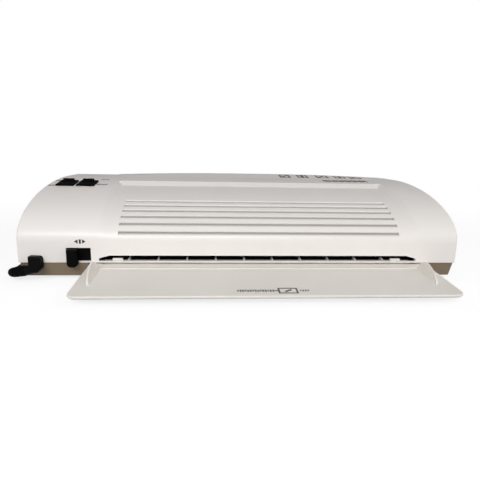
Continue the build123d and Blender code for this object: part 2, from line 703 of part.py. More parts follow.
def side_plate(outer_x, inner_x, flange_sign):
    """Steel side plate with holes for the lower bushes and slots for the upper ones."""
    x0, x1 = min(outer_x, inner_x), max(outer_x, inner_x)
    plate = slab(frame_outline(), x0, x1)
    flange_x = inner_x + flange_sign * FLANGE_WIDTH
    f0, f1 = min(x0, flange_x), max(x1, flange_x)
    plate += block(f0, f1, PLATE_FRONT_Y + 25, PLATE_BACK_Y - 6, FLOOR_Z, FLOOR_Z + PLATE_THICK)
    for s, radius in bush_stations():
        plate -= PATH * rod(x0 - 1, x1 + 1, s, -radius, BUSH_RADIUS + BUSH_FIT)
        half = BUSH_HALF + BUSH_FIT
        top = spring_seat(radius) + SPRING_HEIGHT
        plate -= PATH * block(x0 - 1, x1 + 1, s - half, s + half, radius - half, top)
    for x, y in frame_screw_places():
        if f0 < x < f1:
            plate -= post(x, y, FLOOR_Z - 1, FLOOR_Z + PLATE_THICK + 1, SCREW_RADIUS + SCREW_FIT)
    return plate


def bush_ends():
    """Middle of each bush along X, and the direction of its flange."""
    left = PLATE_LEFT_X - PLATE_THICK / 2
    right = PLATE_RIGHT_X + PLATE_THICK / 2
    return [(left, -1), (right, 1)]


def lower_bushes():
    bushes = []
    for s, radius in bush_stations():
        for x, out in bush_ends():
            sleeve = rod(x - BUSH_LENGTH / 2, x + BUSH_LENGTH / 2, s, -radius, BUSH_RADIUS)
            face = x + out * (PLATE_THICK / 2)
            rim = rod(min(face, face + out * BUSH_FLANGE), max(face, face + out * BUSH_FLANGE), s, -radius,
                      BUSH_RADIUS + 1.4)
            hole = rod(x - BUSH_LENGTH, x + BUSH_LENGTH, s, -radius, SHAFT_RADIUS + SHAFT_GAP)
            bushes.append(PATH * (sleeve + rim - hole))
    return Compound(children=bushes)


def upper_bushes():
    bushes = []
    for s, radius in bush_stations():
        for x, out in bush_ends():
            core = block(x - BUSH_LENGTH / 2, x + BUSH_LENGTH / 2, s - BUSH_HALF, s + BUSH_HALF,
                         radius - BUSH_HALF, radius + BUSH_HALF)
            face = x + out * (PLATE_THICK / 2)
            far = face + out * BUSH_FLANGE
            rim = block(min(face, far), max(face, far), s - BUSH_HALF - 1.4, s + BUSH_HALF + 1.4,
                        radius - BUSH_HALF, radius + BUSH_HALF)
            hole = rod(x - BUSH_LENGTH, x + BUSH_LENGTH, s, radius, SHAFT_RADIUS + SHAFT_GAP)
            bushes.append(PATH * (core + rim - hole))
    return Compound(children=bushes)


def coil_spring(height):
    """A round-wire compression spring on the Z axis, swept over tilted half turns."""
    climb = (height - 2 * SPRING_WIRE - 0.1) / (2 * SPRING_TURNS)
    bulge = math.hypot(SPRING_RADIUS, climb / 2)
    arcs = []
    for k in range(2 * SPRING_TURNS):
        z = SPRING_WIRE + 0.05 + k * climb
        side = 1 if k % 2 == 0 else -1
        start = (side * SPRING_RADIUS, 0, z)
        middle = (0, side * bulge, z + climb / 2)
        arcs.append(ThreePointArc(start, middle, (-side * SPRING_RADIUS, 0, z + climb)))
    route = Wire(arcs)
    print("spring least gap to itself", round(least_gap(route, SPRING_WIRE), 2))
    return round_tube(route, SPRING_WIRE)


def pressure_springs():
    spring = coil_spring(SPRING_HEIGHT)
    springs = []
    for s, radius in bush_stations():
        for x, out in bush_ends():
            springs.append(PATH * (Pos(x, s, spring_seat(radius)) * spring))
    return Compound(children=springs)


def roller_sleeve(s, h, radius):
    x0 = PLATE_LEFT_X + BUSH_LENGTH / 2 + SLEEVE_GAP
    x1 = PLATE_RIGHT_X - BUSH_LENGTH / 2 - SLEEVE_GAP
    body = rod(x0, x1, s, h, radius - NIP_GAP / 2)
    return PATH * (body - rod(x0 - 1, x1 + 1, s, h, SHAFT_RADIUS + 0.02))


def roller_shaft(s, h):
    x1 = PLATE_RIGHT_X + PLATE_THICK + SHAFT_END
    return PATH * rod(GEAR_LEFT_X - 0.6, x1, s, h, SHAFT_RADIUS)


def involute(angle):
    return math.tan(angle) - angle


def gear_outline(teeth, phase):
    """Spur gear outline with involute flanks; phase is the angle of one tooth's middle."""
    pitch_radius = GEAR_MODULE * teeth / 2
    base_radius = pitch_radius * math.cos(math.radians(PRESSURE_ANGLE))
    tip_radius = pitch_radius + ADDENDUM * GEAR_MODULE
    root_radius = pitch_radius - DEDENDUM * GEAR_MODULE
    half_pitch = (math.pi * GEAR_MODULE / 2 - BACKLASH) / (2 * pitch_radius)
    at_pitch = half_pitch + involute(math.radians(PRESSURE_ANGLE))
    start = max(base_radius, root_radius)
    flank = []
    for k in range(5):
        radius = start + (tip_radius - start) * k / 4
        half = at_pitch - involute(math.acos(min(1.0, base_radius / radius)))
        flank.append((radius, half))
    points = []
    for tooth in range(teeth):
        middle = math.radians(phase) + 2 * math.pi * tooth / teeth
        side = [(root_radius, flank[0][1] + 0.02)] + flank
        for radius, half in side:
            points.append((radius * math.cos(middle - half), radius * math.sin(middle - half)))
        for radius, half in reversed(side):
            points.append((radius * math.cos(middle + half), radius * math.sin(middle + half)))
    return make_face(Polyline(*points, close=True))


def gear(teeth, phase, place, bore, hub):
    y, z = place
    disc = extrude(Plane.YZ.offset(GEAR_LEFT_X) * (Pos(y, z) * gear_outline(teeth, phase)), GEAR_WIDTH)
    if hub:
        disc += rod(GEAR_RIGHT_X, GEAR_RIGHT_X + 2.5, y, z, bore + 2.0)
    return disc - rod(GEAR_LEFT_X - 1, GEAR_RIGHT_X + 4, y, z, bore)


def bearing(start, end):
    return math.degrees(math.atan2(end[1] - start[1], end[0] - start[0]))


def meshed_phase(place, teeth, phase, other, other_teeth):
    """Phase that puts a gap of the other gear opposite a tooth of this one."""
    line = bearing(place, other)
    return line + 180 - (180 - teeth * (line - phase)) / other_teeth


def gear_places():
    hot = on_path(HOT_ROLLER_S, HOT_ROLLER_RADIUS)
    hot_low = on_path(HOT_ROLLER_S, -HOT_ROLLER_RADIUS)
    leave = on_path(EXIT_ROLLER_S, EXIT_ROLLER_RADIUS)
    leave_low = on_path(EXIT_ROLLER_S, -EXIT_ROLLER_RADIUS)
    base = math.dist(leave, hot)
    to_exit = GEAR_MODULE * (EXIT_TEETH + IDLER_TEETH) / 2
    to_hot = GEAR_MODULE * (HOT_TEETH + IDLER_TEETH) / 2
    along = (base ** 2 + to_exit ** 2 - to_hot ** 2) / (2 * base)
    lift = math.sqrt(to_exit ** 2 - along ** 2)
    turn = math.radians(bearing(leave, hot))
    idler = (leave[0] + along * math.cos(turn) - lift * math.sin(turn),
             leave[1] + along * math.sin(turn) + lift * math.cos(turn))
    reach = GEAR_MODULE * (PINION_TEETH + IDLER_TEETH) / 2
    down = math.radians(PINION_BEARING)
    pinion = (idler[0] + reach * math.cos(down), idler[1] + reach * math.sin(down))
    return {"hot": hot, "hot_low": hot_low, "exit": leave, "exit_low": leave_low, "idler": idler, "pinion": pinion}


def gear_phases(places):
    idler = 0.0
    hot = meshed_phase(places["idler"], IDLER_TEETH, idler, places["hot"], HOT_TEETH)
    leave = meshed_phase(places["idler"], IDLER_TEETH, idler, places["exit"], EXIT_TEETH)
    return {
        "idler": idler,
        "hot": hot,
        "exit": leave,
        "pinion": meshed_phase(places["idler"], IDLER_TEETH, idler, places["pinion"], PINION_TEETH),
        "hot_low": meshed_phase(places["hot"], HOT_TEETH, hot, places["hot_low"], HOT_TEETH),
        "exit_low": meshed_phase(places["exit"], EXIT_TEETH, leave, places["exit_low"], EXIT_TEETH),
    }


def hot_plate(side):
    near = side * HOT_PLATE_GAP / 2
    far = side * (HOT_PLATE_GAP / 2 + HOT_PLATE_THICK)
    s1 = HOT_PLATE_S + HOT_PLATE_LENGTH
    plate = block(PLATE_LEFT_X, PLATE_RIGHT_X, HOT_PLATE_S, s1, min(near, far), max(near, far))
    lead_in = [e for e in plate.edges().filter_by(Axis.X) if abs(e.center().Z - near) < 0.01]
    return PATH * chamfer(lead_in, 1.0)


def heater_strips():
    s1 = HOT_PLATE_S + HOT_PLATE_LENGTH - 2.0
    s0 = s1 - HEATER_WIDTH
    half = HEATER_LENGTH / 2
    far = HOT_PLATE_GAP / 2 + HOT_PLATE_THICK
    strips = [
        block(PATH_CENTRE_X - half, PATH_CENTRE_X + half, s0, s1, far, far + HEATER_THICK),
        block(PATH_CENTRE_X - half, PATH_CENTRE_X + half, s0, s1, -far - HEATER_THICK, -far),
    ]
    return Compound(children=[PATH * strip for strip in strips])


def thermostats():
    far = HOT_PLATE_GAP / 2 + HOT_PLATE_THICK
    s = HOT_PLATE_S + 9.0
    parts = []
    for x in (PATH_CENTRE_X - 55, PATH_CENTRE_X + 35):
        can = post(x, s, far, far + 6.0, 7.5) + post(x, s, far + 6.0, far + 9.5, 6.0)
        for side in (-1, 1):
            tab_x = x + side * 4.6
            can += block(min(tab_x, tab_x + side * 6), max(tab_x, tab_x + side * 6), s - 2.4, s + 2.4,
                         far + 8.0, far + 8.8)
        parts.append(PATH * can)
    return Compound(children=parts)


def thermal_fuse():
    far = HOT_PLATE_GAP / 2 + HOT_PLATE_THICK
    s = HOT_PLATE_S + 8.0
    x = PATH_CENTRE_X - 5
    return PATH * (rod(x - 8, x + 8, s, far + 2.0, 2.0) + rod(x - 18, x + 18, s, far + 2.0, 0.6))


def tie_bars():
    places = [on_path(s, h) for s, h in BAR_PLACES]
    return Compound(children=[rod(PLATE_LEFT_X, PLATE_RIGHT_X, y, z, BAR_RADIUS) for y, z in places])


def motor_ears():
    return [(MOTOR_Y + EAR_REACH * math.cos(math.radians(a)), MOTOR_Z + EAR_REACH * math.sin(math.radians(a)))
            for a in (62.0, -140.0)]


def motor_case():
    back = BRACKET_LEFT_X - MOTOR_LENGTH
    case = rod(back, BRACKET_LEFT_X, MOTOR_Y, MOTOR_Z, MOTOR_RADIUS)
    case = chamfer(case.edges().group_by(Axis.X)[0], 1.0)
    for y, z in motor_ears():
        ear = rod(BRACKET_LEFT_X - 1.2, BRACKET_LEFT_X, y, z, EAR_RADIUS)
        neck = rod(BRACKET_LEFT_X - 1.2, BRACKET_LEFT_X, (y * 3 + MOTOR_Y) / 4, (z * 3 + MOTOR_Z) / 4, 5.0)
        case = case + ear + neck - rod(BRACKET_LEFT_X - 2, BRACKET_LEFT_X + 1, y, z, SCREW_RADIUS + SCREW_FIT)
    y, z = gear_places()["pinion"]
    return case - rod(BRACKET_LEFT_X - 4.0, BRACKET_LEFT_X + 1, y, z, MOTOR_SHAFT_RADIUS + SHAFT_GAP)


def motor_bracket():
    """Steel plate that stands on the base and carries the motor and the slide's rod."""
    outline = [
        (MOTOR_Y - 25.5, FLOOR_Z),
        (MOTOR_Y - 25.5, ROD_Z - 3.0),
        (ROD_Y - 3.0, ROD_Z + 4.5),
        (MOTOR_Y + 3.0, MOTOR_Z + 28.0),
        (MOTOR_Y + 19.0, MOTOR_Z + 28.0),
        (MOTOR_Y + 24.0, MOTOR_Z + 18.0),
        (MOTOR_Y + 24.0, FLOOR_Z),
    ]
    plate = slab(outline, BRACKET_LEFT_X, BRACKET_RIGHT_X)
    plate += block(BRACKET_LEFT_X - 16, BRACKET_RIGHT_X, MOTOR_Y + 12, MOTOR_Y + 24, FLOOR_Z, FLOOR_Z + PLATE_THICK)
    y, z = gear_places()["pinion"]
    plate -= rod(BRACKET_LEFT_X - 1, BRACKET_RIGHT_X + 1, y, z, MOTOR_SHAFT_RADIUS + 1.0)
    plate -= rod(BRACKET_LEFT_X - 1, BRACKET_RIGHT_X + 1, ROD_Y, ROD_Z, ROD_RADIUS + 0.02)
    for ear_y, ear_z in motor_ears():
        plate -= rod(BRACKET_LEFT_X - 1, BRACKET_RIGHT_X + 1, ear_y, ear_z, SCREW_RADIUS + SCREW_FIT)
    return plate


def motor_screws():
    screws = []
    for y, z in motor_ears():
        head = rod(BRACKET_LEFT_X - 1.2 - SCREW_HEAD_HEIGHT, BRACKET_LEFT_X - 1.2, y, z, SCREW_HEAD_RADIUS)
        shank = rod(BRACKET_LEFT_X - 1.2, BRACKET_RIGHT_X + 0.5, y, z, SCREW_RADIUS)
        screws.append(head + shank)
    return Compound(children=screws)


def motor_shaft(place):
    return rod(BRACKET_LEFT_X - 3.8, GEAR_RIGHT_X + 1.0, place[0], place[1], MOTOR_SHAFT_RADIUS)


def slider_rod():
    return rod(BRACKET_LEFT_X, PLATE_LEFT_X - PLATE_THICK, ROD_Y, ROD_Z, ROD_RADIUS)


def release_slider(axle):
    """Slide behind the window: a cover plate, a stem for the knob and an arm to the idler."""
    y0 = WALL + GUIDE_GAP
    plate_left = ARM_LEFT_X - 1.0
    plate_right = WINDOW_LEFT_X + WINDOW_WIDTH + 1.4
    slide = block(plate_left, plate_right, y0, y0 + 1.5, SLOT_STRIP - 0.4, WINDOW_TOP + 2.4)
    stem_x = WINDOW_LEFT_X + STEM_INSET
    slide += block(stem_x, stem_x + STEM_WIDTH, -1.2, y0, SLOT_STRIP + 1.0, WINDOW_TOP - 1.5)
    arm = [
        (y0, SLOT_STRIP - 0.4),
        (y0, WINDOW_TOP + 2.4),
        (7.0, 22.0),
        (16.5, 29.5),
        (ROD_Y, ROD_Z + 4.0),
        (34.0, 32.0),
        (axle[0], axle[1] + 4.6),
        (axle[0] + 4.0, axle[1]),
        (axle[0], axle[1] - 4.6),
        (33.5, 25.5),
        (ROD_Y + 1.0, ROD_Z - 4.2),
        (13.0, 19.5),
        (8.0, 12.0),
        (8.0, SLOT_STRIP - 0.4),
    ]
    slide += slab(arm, ARM_LEFT_X, ARM_RIGHT_X)
    slide -= rod(ARM_LEFT_X - 1, ARM_RIGHT_X + 1, ROD_Y, ROD_Z, ROD_RADIUS + SHAFT_GAP)
    slide -= rod(ARM_LEFT_X - 1, ARM_RIGHT_X + 1, axle[0], axle[1], AXLE_RADIUS + 0.02)
    return slide


def release_knob():
    """Finger knob outside the window: proud of the wall, its round end below the seam."""
    x0 = WINDOW_LEFT_X + KNOB_INSET
    x1 = x0 + KNOB_WIDTH
    z1 = WINDOW_TOP - 0.6
    knob = block(x0, x1, -KNOB_REACH, -0.4, -KNOB_HANG, z1)
    knob = fillet(knob.edges().filter_by(Axis.Y).group_by(Axis.Z)[0], 3.0)
    knob = fillet(knob.edges().filter_by(Axis.Y).group_by(Axis.Z)[-1], 0.8)
    knob = fillet(knob.edges().group_by(Axis.Y)[0], 1.3)
    stem_x = WINDOW_LEFT_X + STEM_INSET
    socket = block(stem_x, stem_x + STEM_WIDTH, -1.2, 1, SLOT_STRIP + 1.0, WINDOW_TOP - 1.5)
    return knob - socket


def idler_axle(axle):
    return rod(ARM_LEFT_X, GEAR_RIGHT_X + 1.0, axle[0], axle[1], AXLE_RADIUS)


def switch_housing(x):
    """Bezel and body of a rocker switch, open on top, with two holes for the rocker's nubs."""
    body_w = SWITCH_WIDTH - 2
    body_l = SWITCH_LENGTH - 2
    housing = block(-SWITCH_WIDTH / 2, SWITCH_WIDTH / 2, -SWITCH_LENGTH / 2, SWITCH_LENGTH / 2, 0.05, SWITCH_BEZEL)
    housing = chamfer(housing.edges().group_by(Axis.Z)[-1], 0.5)
    housing += block(-body_w / 2, body_w / 2, -body_l / 2, body_l / 2, -SWITCH_BODY_DEPTH, 0.05)
    well_w = ROCKER_WIDTH + 2 * ROCKER_GAP
    well_l = 2 * (ROCKER_RADIUS + ROCKER_GAP)
    housing -= block(-well_w / 2, well_w / 2, -well_l / 2, well_l / 2, -SWITCH_BODY_DEPTH + 2.2, SWITCH_BEZEL + 1)
    housing -= rod(-body_w / 2 + 0.4, body_w / 2 - 0.4, 0, rocker_pivot(), NUB_RADIUS + SHAFT_GAP)
    for y in (-6.0, 0.0, 6.0):
        housing += block(-2.4, 2.4, y - 0.4, y + 0.4, -SWITCH_BODY_DEPTH - 5.0, -SWITCH_BODY_DEPTH)
    return switch_frame(x) * housing


def rocker_pivot():
    return -0.6


def switch_rocker(x):
    """Rocker with a shallow V top, its near side pressed down and its far side raised."""
    half = ROCKER_WIDTH / 2
    drum = rod(-half, half, 0, 0, ROCKER_RADIUS)
    dip = 2.0
    rise = 3.6
    top = [(-ROCKER_RADIUS - 1, -5.0), (-ROCKER_RADIUS - 1, rise + 0.15), (0, dip), (ROCKER_RADIUS + 1, rise + 0.15),
           (ROCKER_RADIUS + 1, -5.0)]
    rocker = drum & slab(top, -half, half)
    rocker += rod(-half - 1.0, half + 1.0, 0, 0, NUB_RADIUS)
    pivot = Location((0, 0, rocker_pivot()), (ROCKER_TILT, 0, 0))
    return switch_frame(x) * (pivot * rocker)


def terminal_block():
    x0 = LEFT_END_X + 14.0
    y0 = 116.0
    pitch = 7.0
    blocks = block(x0, x0 + 5 * pitch, y0, y0 + 16, FLOOR_Z, FLOOR_Z + 12)
    for k in range(5):
        x = x0 + (k + 0.5) * pitch
        blocks -= post(x, y0 + 5, FLOOR_Z + 6, FLOOR_Z + 13, 1.9)
        blocks -= post(x, y0 + 11, FLOOR_Z + 6, FLOOR_Z + 13, 1.9)
    return blocks


def strain_relief():
    """Boot of the mains lead: a rounded block outside, a waist in the seam and a flange inside."""
    x1 = BOOT_LEFT_X + BOOT_WIDTH
    z0 = BOOT_TOP - BOOT_HEIGHT
    head = block(BOOT_LEFT_X, x1, -BOOT_REACH, -0.3, z0, BOOT_TOP)
    top_right = [e for e in head.edges().filter_by(Axis.Y) if e.center().X > x1 - 0.1 and e.center().Z > 0]
    head = fillet(top_right, 2.6)
    low_right = [e for e in head.edges().filter_by(Axis.Y) if e.center().X > x1 - 0.1 and e.center().Z < 0]
    head = chamfer(low_right, 3.0)
    front = head.edges().group_by(Axis.Y)[0]
    head = fillet(front, 0.9)
    boot = head + boot_neck(0.0)
    boot += block(BOOT_LEFT_X + 0.6, x1 - 0.6, BOOT_FLANGE_Y, BOOT_FLANGE_Y + 1.6, z0 + 1.4, BOOT_TOP - 0.6)
    start, away = cord_exit()
    snout = Plane(origin=start, z_dir=-away) * Cylinder(CORD_RADIUS + SNOUT_WALL, SNOUT_LENGTH + 2,
                                                        align=(Align.CENTER, Align.CENTER, Align.MIN))
    return boot + snout


def cord_exit():
    """Point where the lead leaves its boot, and the direction in which it leaves."""
    drop = math.radians(BOOT_CORD_DROP)
    away = Vector(-math.cos(drop), 0, -math.sin(drop))
    return Vector(BOOT_LEFT_X, BOOT_CORD_Y, BOOT_CORD_Z) + away * SNOUT_LENGTH, away


def coil_half_turns():
    """Half turns of the coil: inwards on the table, up a layer, and outwards again on top."""
    grow = COIL_PITCH / 2
    radii = [COIL_INNER_RADIUS + grow * k for k in range(COIL_HALF_TURNS, 0, -1)]
    radii.append(COIL_INNER_RADIUS)
    radii += [COIL_INNER_RADIUS + grow * k for k in range(1, COIL_HALF_TURNS)]
    y = COIL_Y - radii[0]
    z = COIL_LOW_Z
    turns = []
    for k, radius in enumerate(radii):
        side = 1 if k % 2 == 0 else -1
        climb = COIL_PITCH if k == COIL_HALF_TURNS else 0.0
        bulge = math.hypot(radius, climb / 2)
        start = Vector(COIL_X, y, z)
        middle = Vector(COIL_X + side * bulge, y + side * radius, z + climb / 2)
        end = Vector(COIL_X, y + side * 2 * radius, z + climb)
        turns.append((start, middle, end))
        y, z = end.Y, end.Z
    return turns


def least_gap(route, radius):
    """Least gap between a wound tube and its own earlier turns, measured on points."""
    step = 1.2 * radius
    count = int(route.length / step)
    points = [route.position_at(k / count) for k in range(count + 1)]
    apart = int(4 * radius / step) + 2
    nearest = min((a - b).length for k, a in enumerate(points) for b in points[k + apart:])
    return nearest - 2 * radius


def round_tube(route, radius):
    section = Plane(origin=route @ 0, z_dir=route % 0) * Circle(radius)
    return sweep(section, path=route)


def laid_tube(points, name):
    """A lead along straight runs, each corner as wide as its two runs allow."""
    radii = []
    for before, corner, after in zip(points, points[1:], points[2:]):
        turn = (corner - before).get_angle(after - corner)
        run = min((corner - before).length, (after - corner).length)
        radii.append(0.45 * run / math.tan(math.radians(turn / 2)))
    route = FilletPolyline(*points, radius=radii)
    tube = round_tube(route, CORD_RADIUS)
    ideal = math.pi * CORD_RADIUS ** 2 * route.length
    print(name, "radii", [round(r, 1) for r in radii], "length", round(route.length, 1))
    print(name, "volume against section times length", round(tube.volume / ideal, 4))
    return tube


def cord_run():
    """Free stretch: out of the boot, round the front corner, along the end and to the coil."""
    start, away = cord_exit()
    enter = coil_half_turns()[0][0] - Vector(2 * CORD_RADIUS, 0, 0)
    lie = TABLE_Z + CORD_RADIUS + 0.05
    points = [
        start,
        start + away * 6.9,
        Vector(LEFT_END_X - 6.2, 2.2, -8.2),
        Vector(LEFT_END_X - 7.9, 14.6, -10.0),
        Vector(LEFT_END_X - 11.1, 37.0, -11.7),
        Vector(LEFT_END_X - 14.5, 76.0, lie),
        Vector(LEFT_END_X - 15.1, BODY_DEPTH - 54.0, lie),
        Vector(LEFT_END_X - 14.0, BODY_DEPTH - 22.0, lie),
        Vector(LEFT_END_X - 6.0, BODY_DEPTH + 2.5, lie),
        Vector(LEFT_END_X + 11.5, BODY_DEPTH + 14.0, lie + 0.4),
        Vector(enter.X - 18.5, enter.Y, enter.Z),
        enter,
    ]
    return laid_tube(points, "cord run")


def cord_coil():
    turns = coil_half_turns()
    lead = Vector(2 * CORD_RADIUS, 0, 0)
    edges = [Line(turns[0][0] - lead, turns[0][0])]
    edges += [ThreePointArc(start, middle, end) for start, middle, end in turns]
    edges.append(Line(turns[-1][2], turns[-1][2] + lead))
    route = Wire(edges)
    print("coil least gap to itself", round(least_gap(route, CORD_RADIUS), 2), "length", round(route.length, 1))
    return round_tube(route, CORD_RADIUS)


def tail_points():
    leave = coil_half_turns()[-1][2] + Vector(2 * CORD_RADIUS, 0, 0)
    return [leave, leave + Vector(15, 0, 0), leave + Vector(31, 3.4, 0), leave + Vector(46, 4.6, 0)]


def cord_tail():
    """Short free stretch from the top of the coil to the plug beside it."""
    return laid_tube(tail_points(), "cord tail")


def cord_tie():
    """Strap round both layers of the coil, on the side where it doesn't climb."""
    width = COIL_HALF_TURNS * COIL_PITCH / 2 - COIL_PITCH / 2 + 2 * CORD_RADIUS
    height = COIL_PITCH + 2 * CORD_RADIUS
    middle = COIL_INNER_RADIUS + COIL_PITCH / 2 * COIL_HALF_TURNS / 2
    centre = (COIL_X - middle, COIL_Y + COIL_PITCH / 2, (COIL_LOW_Z + COIL_HIGH_Z) / 2)
    outer = RectangleRounded(width + 2 * (TIE_GAP + TIE_THICK), height + 2 * (TIE_GAP + TIE_THICK), 3.0)
    inner = RectangleRounded(width + 2 * TIE_GAP, height + 2 * TIE_GAP, 3.0 - TIE_THICK)
    return Pos(*centre) * extrude(Plane.XZ * (outer - inner), TIE_WIDTH / 2, both=True)


def plug_frame():
    points = tail_points()
    turn = math.degrees(math.atan2(points[-1].Y - points[-2].Y, points[-1].X - points[-2].X))
    return Location(tuple(points[-1]), (0, 0, turn))


def plug_body():
    """Two-pin plug that lies flat on the table, with a tapered neck."""
    half = COIL_HIGH_Z - TABLE_Z
    neck_length = 12.0
    neck = Location((0, 0, 0), (0, 90, 0)) * Cone(CORD_RADIUS + 1.2, CORD_RADIUS + 3.2, neck_length,
                                                  align=(Align.CENTER, Align.CENTER, Align.MIN))
    body = block(neck_length, PLUG_LENGTH, -PLUG_WIDTH / 2, PLUG_WIDTH / 2, -half, half)
    body = fillet(body.edges().filter_by(Axis.X), PLUG_ROUND)
    body = fillet(body.edges().group_by(Axis.X)[0], 3.0)
    body = chamfer(body.edges().group_by(Axis.X)[-1], 0.8)
    return plug_frame() * (body + neck)


def plug_pins():
    pins = []
    for side in (-1, 1):
        pin = rod(PLUG_LENGTH, PLUG_LENGTH + PIN_LENGTH, side * PIN_SPACING / 2, 0, PIN_RADIUS)
        pin = fillet(pin.edges().group_by(Axis.X)[-1], 1.2)
        pins.append(plug_frame() * pin)
    return Compound(children=pins)


def save_all():
    places = gear_places()
    phases = gear_phases(places)
    save(top_cover(), "top_cover")
    save(base_case(), "base_case")
    save(rubber_feet(), "rubber_feet")
    save(cover_screws(), "cover_screws")
    save(frame_screws(), "frame_screws")
    save(exit_guide(), "exit_guide")
    save(exit_tray(), "exit_tray")
    save(tray_hinge_pins(), "tray_hinge_pins")
    save(feed_guide_lower(), "feed_guide_lower")
    save(feed_guide_upper(), "feed_guide_upper")
    save(side_plate(PLATE_LEFT_X - PLATE_THICK, PLATE_LEFT_X, 1), "side_plate_left")
    save(side_plate(PLATE_RIGHT_X + PLATE_THICK, PLATE_RIGHT_X, -1), "side_plate_right")
    save(tie_bars(), "tie_bars")
    save(lower_bushes(), "lower_bushes")
    save(upper_bushes(), "upper_bushes")
    save(pressure_springs(), "pressure_springs")
    save(hot_plate(1), "hot_plate_upper")
    save(hot_plate(-1), "hot_plate_lower")
    save(heater_strips(), "heater_strips")
    save(thermostats(), "thermostats")
    save(thermal_fuse(), "thermal_fuse")
    rollers = [
        ("hot_roller_upper", HOT_ROLLER_S, HOT_ROLLER_RADIUS, 1, HOT_TEETH, "hot"),
        ("hot_roller_lower", HOT_ROLLER_S, HOT_ROLLER_RADIUS, -1, HOT_TEETH, "hot_low"),
        ("exit_roller_upper", EXIT_ROLLER_S, EXIT_ROLLER_RADIUS, 1, EXIT_TEETH, "exit"),
        ("exit_roller_lower", EXIT_ROLLER_S, EXIT_ROLLER_RADIUS, -1, EXIT_TEETH, "exit_low"),
    ]
    for name, s, radius, side, teeth, key in rollers:
        save(roller_sleeve(s, side * radius, radius), name + "_sleeve")
        save(roller_shaft(s, side * radius), name + "_shaft")
        save(gear(teeth, phases[key], places[key], SHAFT_RADIUS + 0.02, True), name + "_gear")
    save(gear(IDLER_TEETH, phases["idler"], places["idler"], AXLE_RADIUS + SHAFT_GAP, False), "idler_gear")
    save(gear(PINION_TEETH, phases["pinion"], places["pinion"], MOTOR_SHAFT_RADIUS + 0.02, False), "motor_pinion")
    save(motor_case(), "motor_case")
    save(motor_bracket(), "motor_bracket")
    save(motor_screws(), "motor_screws")
    save(motor_shaft(places["pinion"]), "motor_shaft")
    save(slider_rod(), "slider_rod")
    save(release_slider(places["idler"]), "release_slider")
    save(release_knob(), "release_knob")
    save(idler_axle(places["idler"]), "idler_axle")
    for x, name in zip(SWITCH_X, ("power_switch", "mode_switch")):
        save(switch_housing(x), name + "_housing")
        save(switch_rocker(x), name + "_rocker")
    save(terminal_block(), "terminal_block")
    save(strain_relief(), "strain_relief")
    save(cord_run(), "cord_run")
    save(cord_coil(), "cord_coil")
    save(cord_tail(), "cord_tail")
    save(cord_tie(), "cord_tie")
    save(plug_body(), "plug_body")
    save(plug_pins(), "plug_pins")
    for key, place in places.items():
        print(key, "at Y", round(place[0] - MIDDLE_Y, 3), "Z", round(place[1] - TABLE_Z, 3))


save_all()
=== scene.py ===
import json
import math

import bmesh
import bpy
from mathutils import Matrix, Vector
from mathutils.bvhtree import BVHTree

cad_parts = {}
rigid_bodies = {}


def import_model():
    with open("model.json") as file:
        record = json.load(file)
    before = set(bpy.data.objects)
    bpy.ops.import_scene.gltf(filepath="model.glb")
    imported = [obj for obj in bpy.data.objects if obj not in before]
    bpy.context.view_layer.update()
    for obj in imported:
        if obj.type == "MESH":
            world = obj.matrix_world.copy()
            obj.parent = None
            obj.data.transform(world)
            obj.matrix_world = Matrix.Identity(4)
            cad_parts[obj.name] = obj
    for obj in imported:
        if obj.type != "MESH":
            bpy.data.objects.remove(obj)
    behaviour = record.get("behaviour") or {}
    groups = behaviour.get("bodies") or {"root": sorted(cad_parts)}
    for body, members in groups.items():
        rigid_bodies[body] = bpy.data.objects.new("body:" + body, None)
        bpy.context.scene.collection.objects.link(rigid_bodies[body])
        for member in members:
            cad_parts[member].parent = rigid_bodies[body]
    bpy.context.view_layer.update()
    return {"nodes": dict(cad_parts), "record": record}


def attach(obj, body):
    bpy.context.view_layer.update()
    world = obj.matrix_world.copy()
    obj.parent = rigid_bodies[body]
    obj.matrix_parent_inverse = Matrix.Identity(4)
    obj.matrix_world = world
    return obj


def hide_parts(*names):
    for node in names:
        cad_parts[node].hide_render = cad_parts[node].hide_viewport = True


for leftover in list(bpy.data.objects):
    bpy.data.objects.remove(leftover)

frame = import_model()
nodes = frame["nodes"]


FRONT_TO_CENTRE = 57.35
SEAM_HEIGHT = 14.5


def at(x, y, z):
    """Point in metres, from mm along the machine, back from its front plane and up from its seam."""
    return Vector((x, y - FRONT_TO_CENTRE, z + SEAM_HEIGHT)) / 1000


def tint(red, green, blue):
    """Colour as seen on a screen, 0 to 255, turned into the linear colour that a shader takes."""
    line = []
    for part in (red, green, blue):
        part = part / 255
        line.append(part / 12.92 if part <= 0.04045 else ((part + 0.055) / 1.055) ** 2.4)
    return (*line, 1.0)


# Camera

CAMERA_PLACE = (-25.4408, -309.743, 83.6635)
CAMERA_PITCH = math.radians(12.0)
CAMERA_YAW = 0.0703077
CAMERA_ROLL = 0.0188411
LENS_LENGTH = 31.5
SENSOR_WIDTH = 36.0
NEAREST_SEEN = 0.01


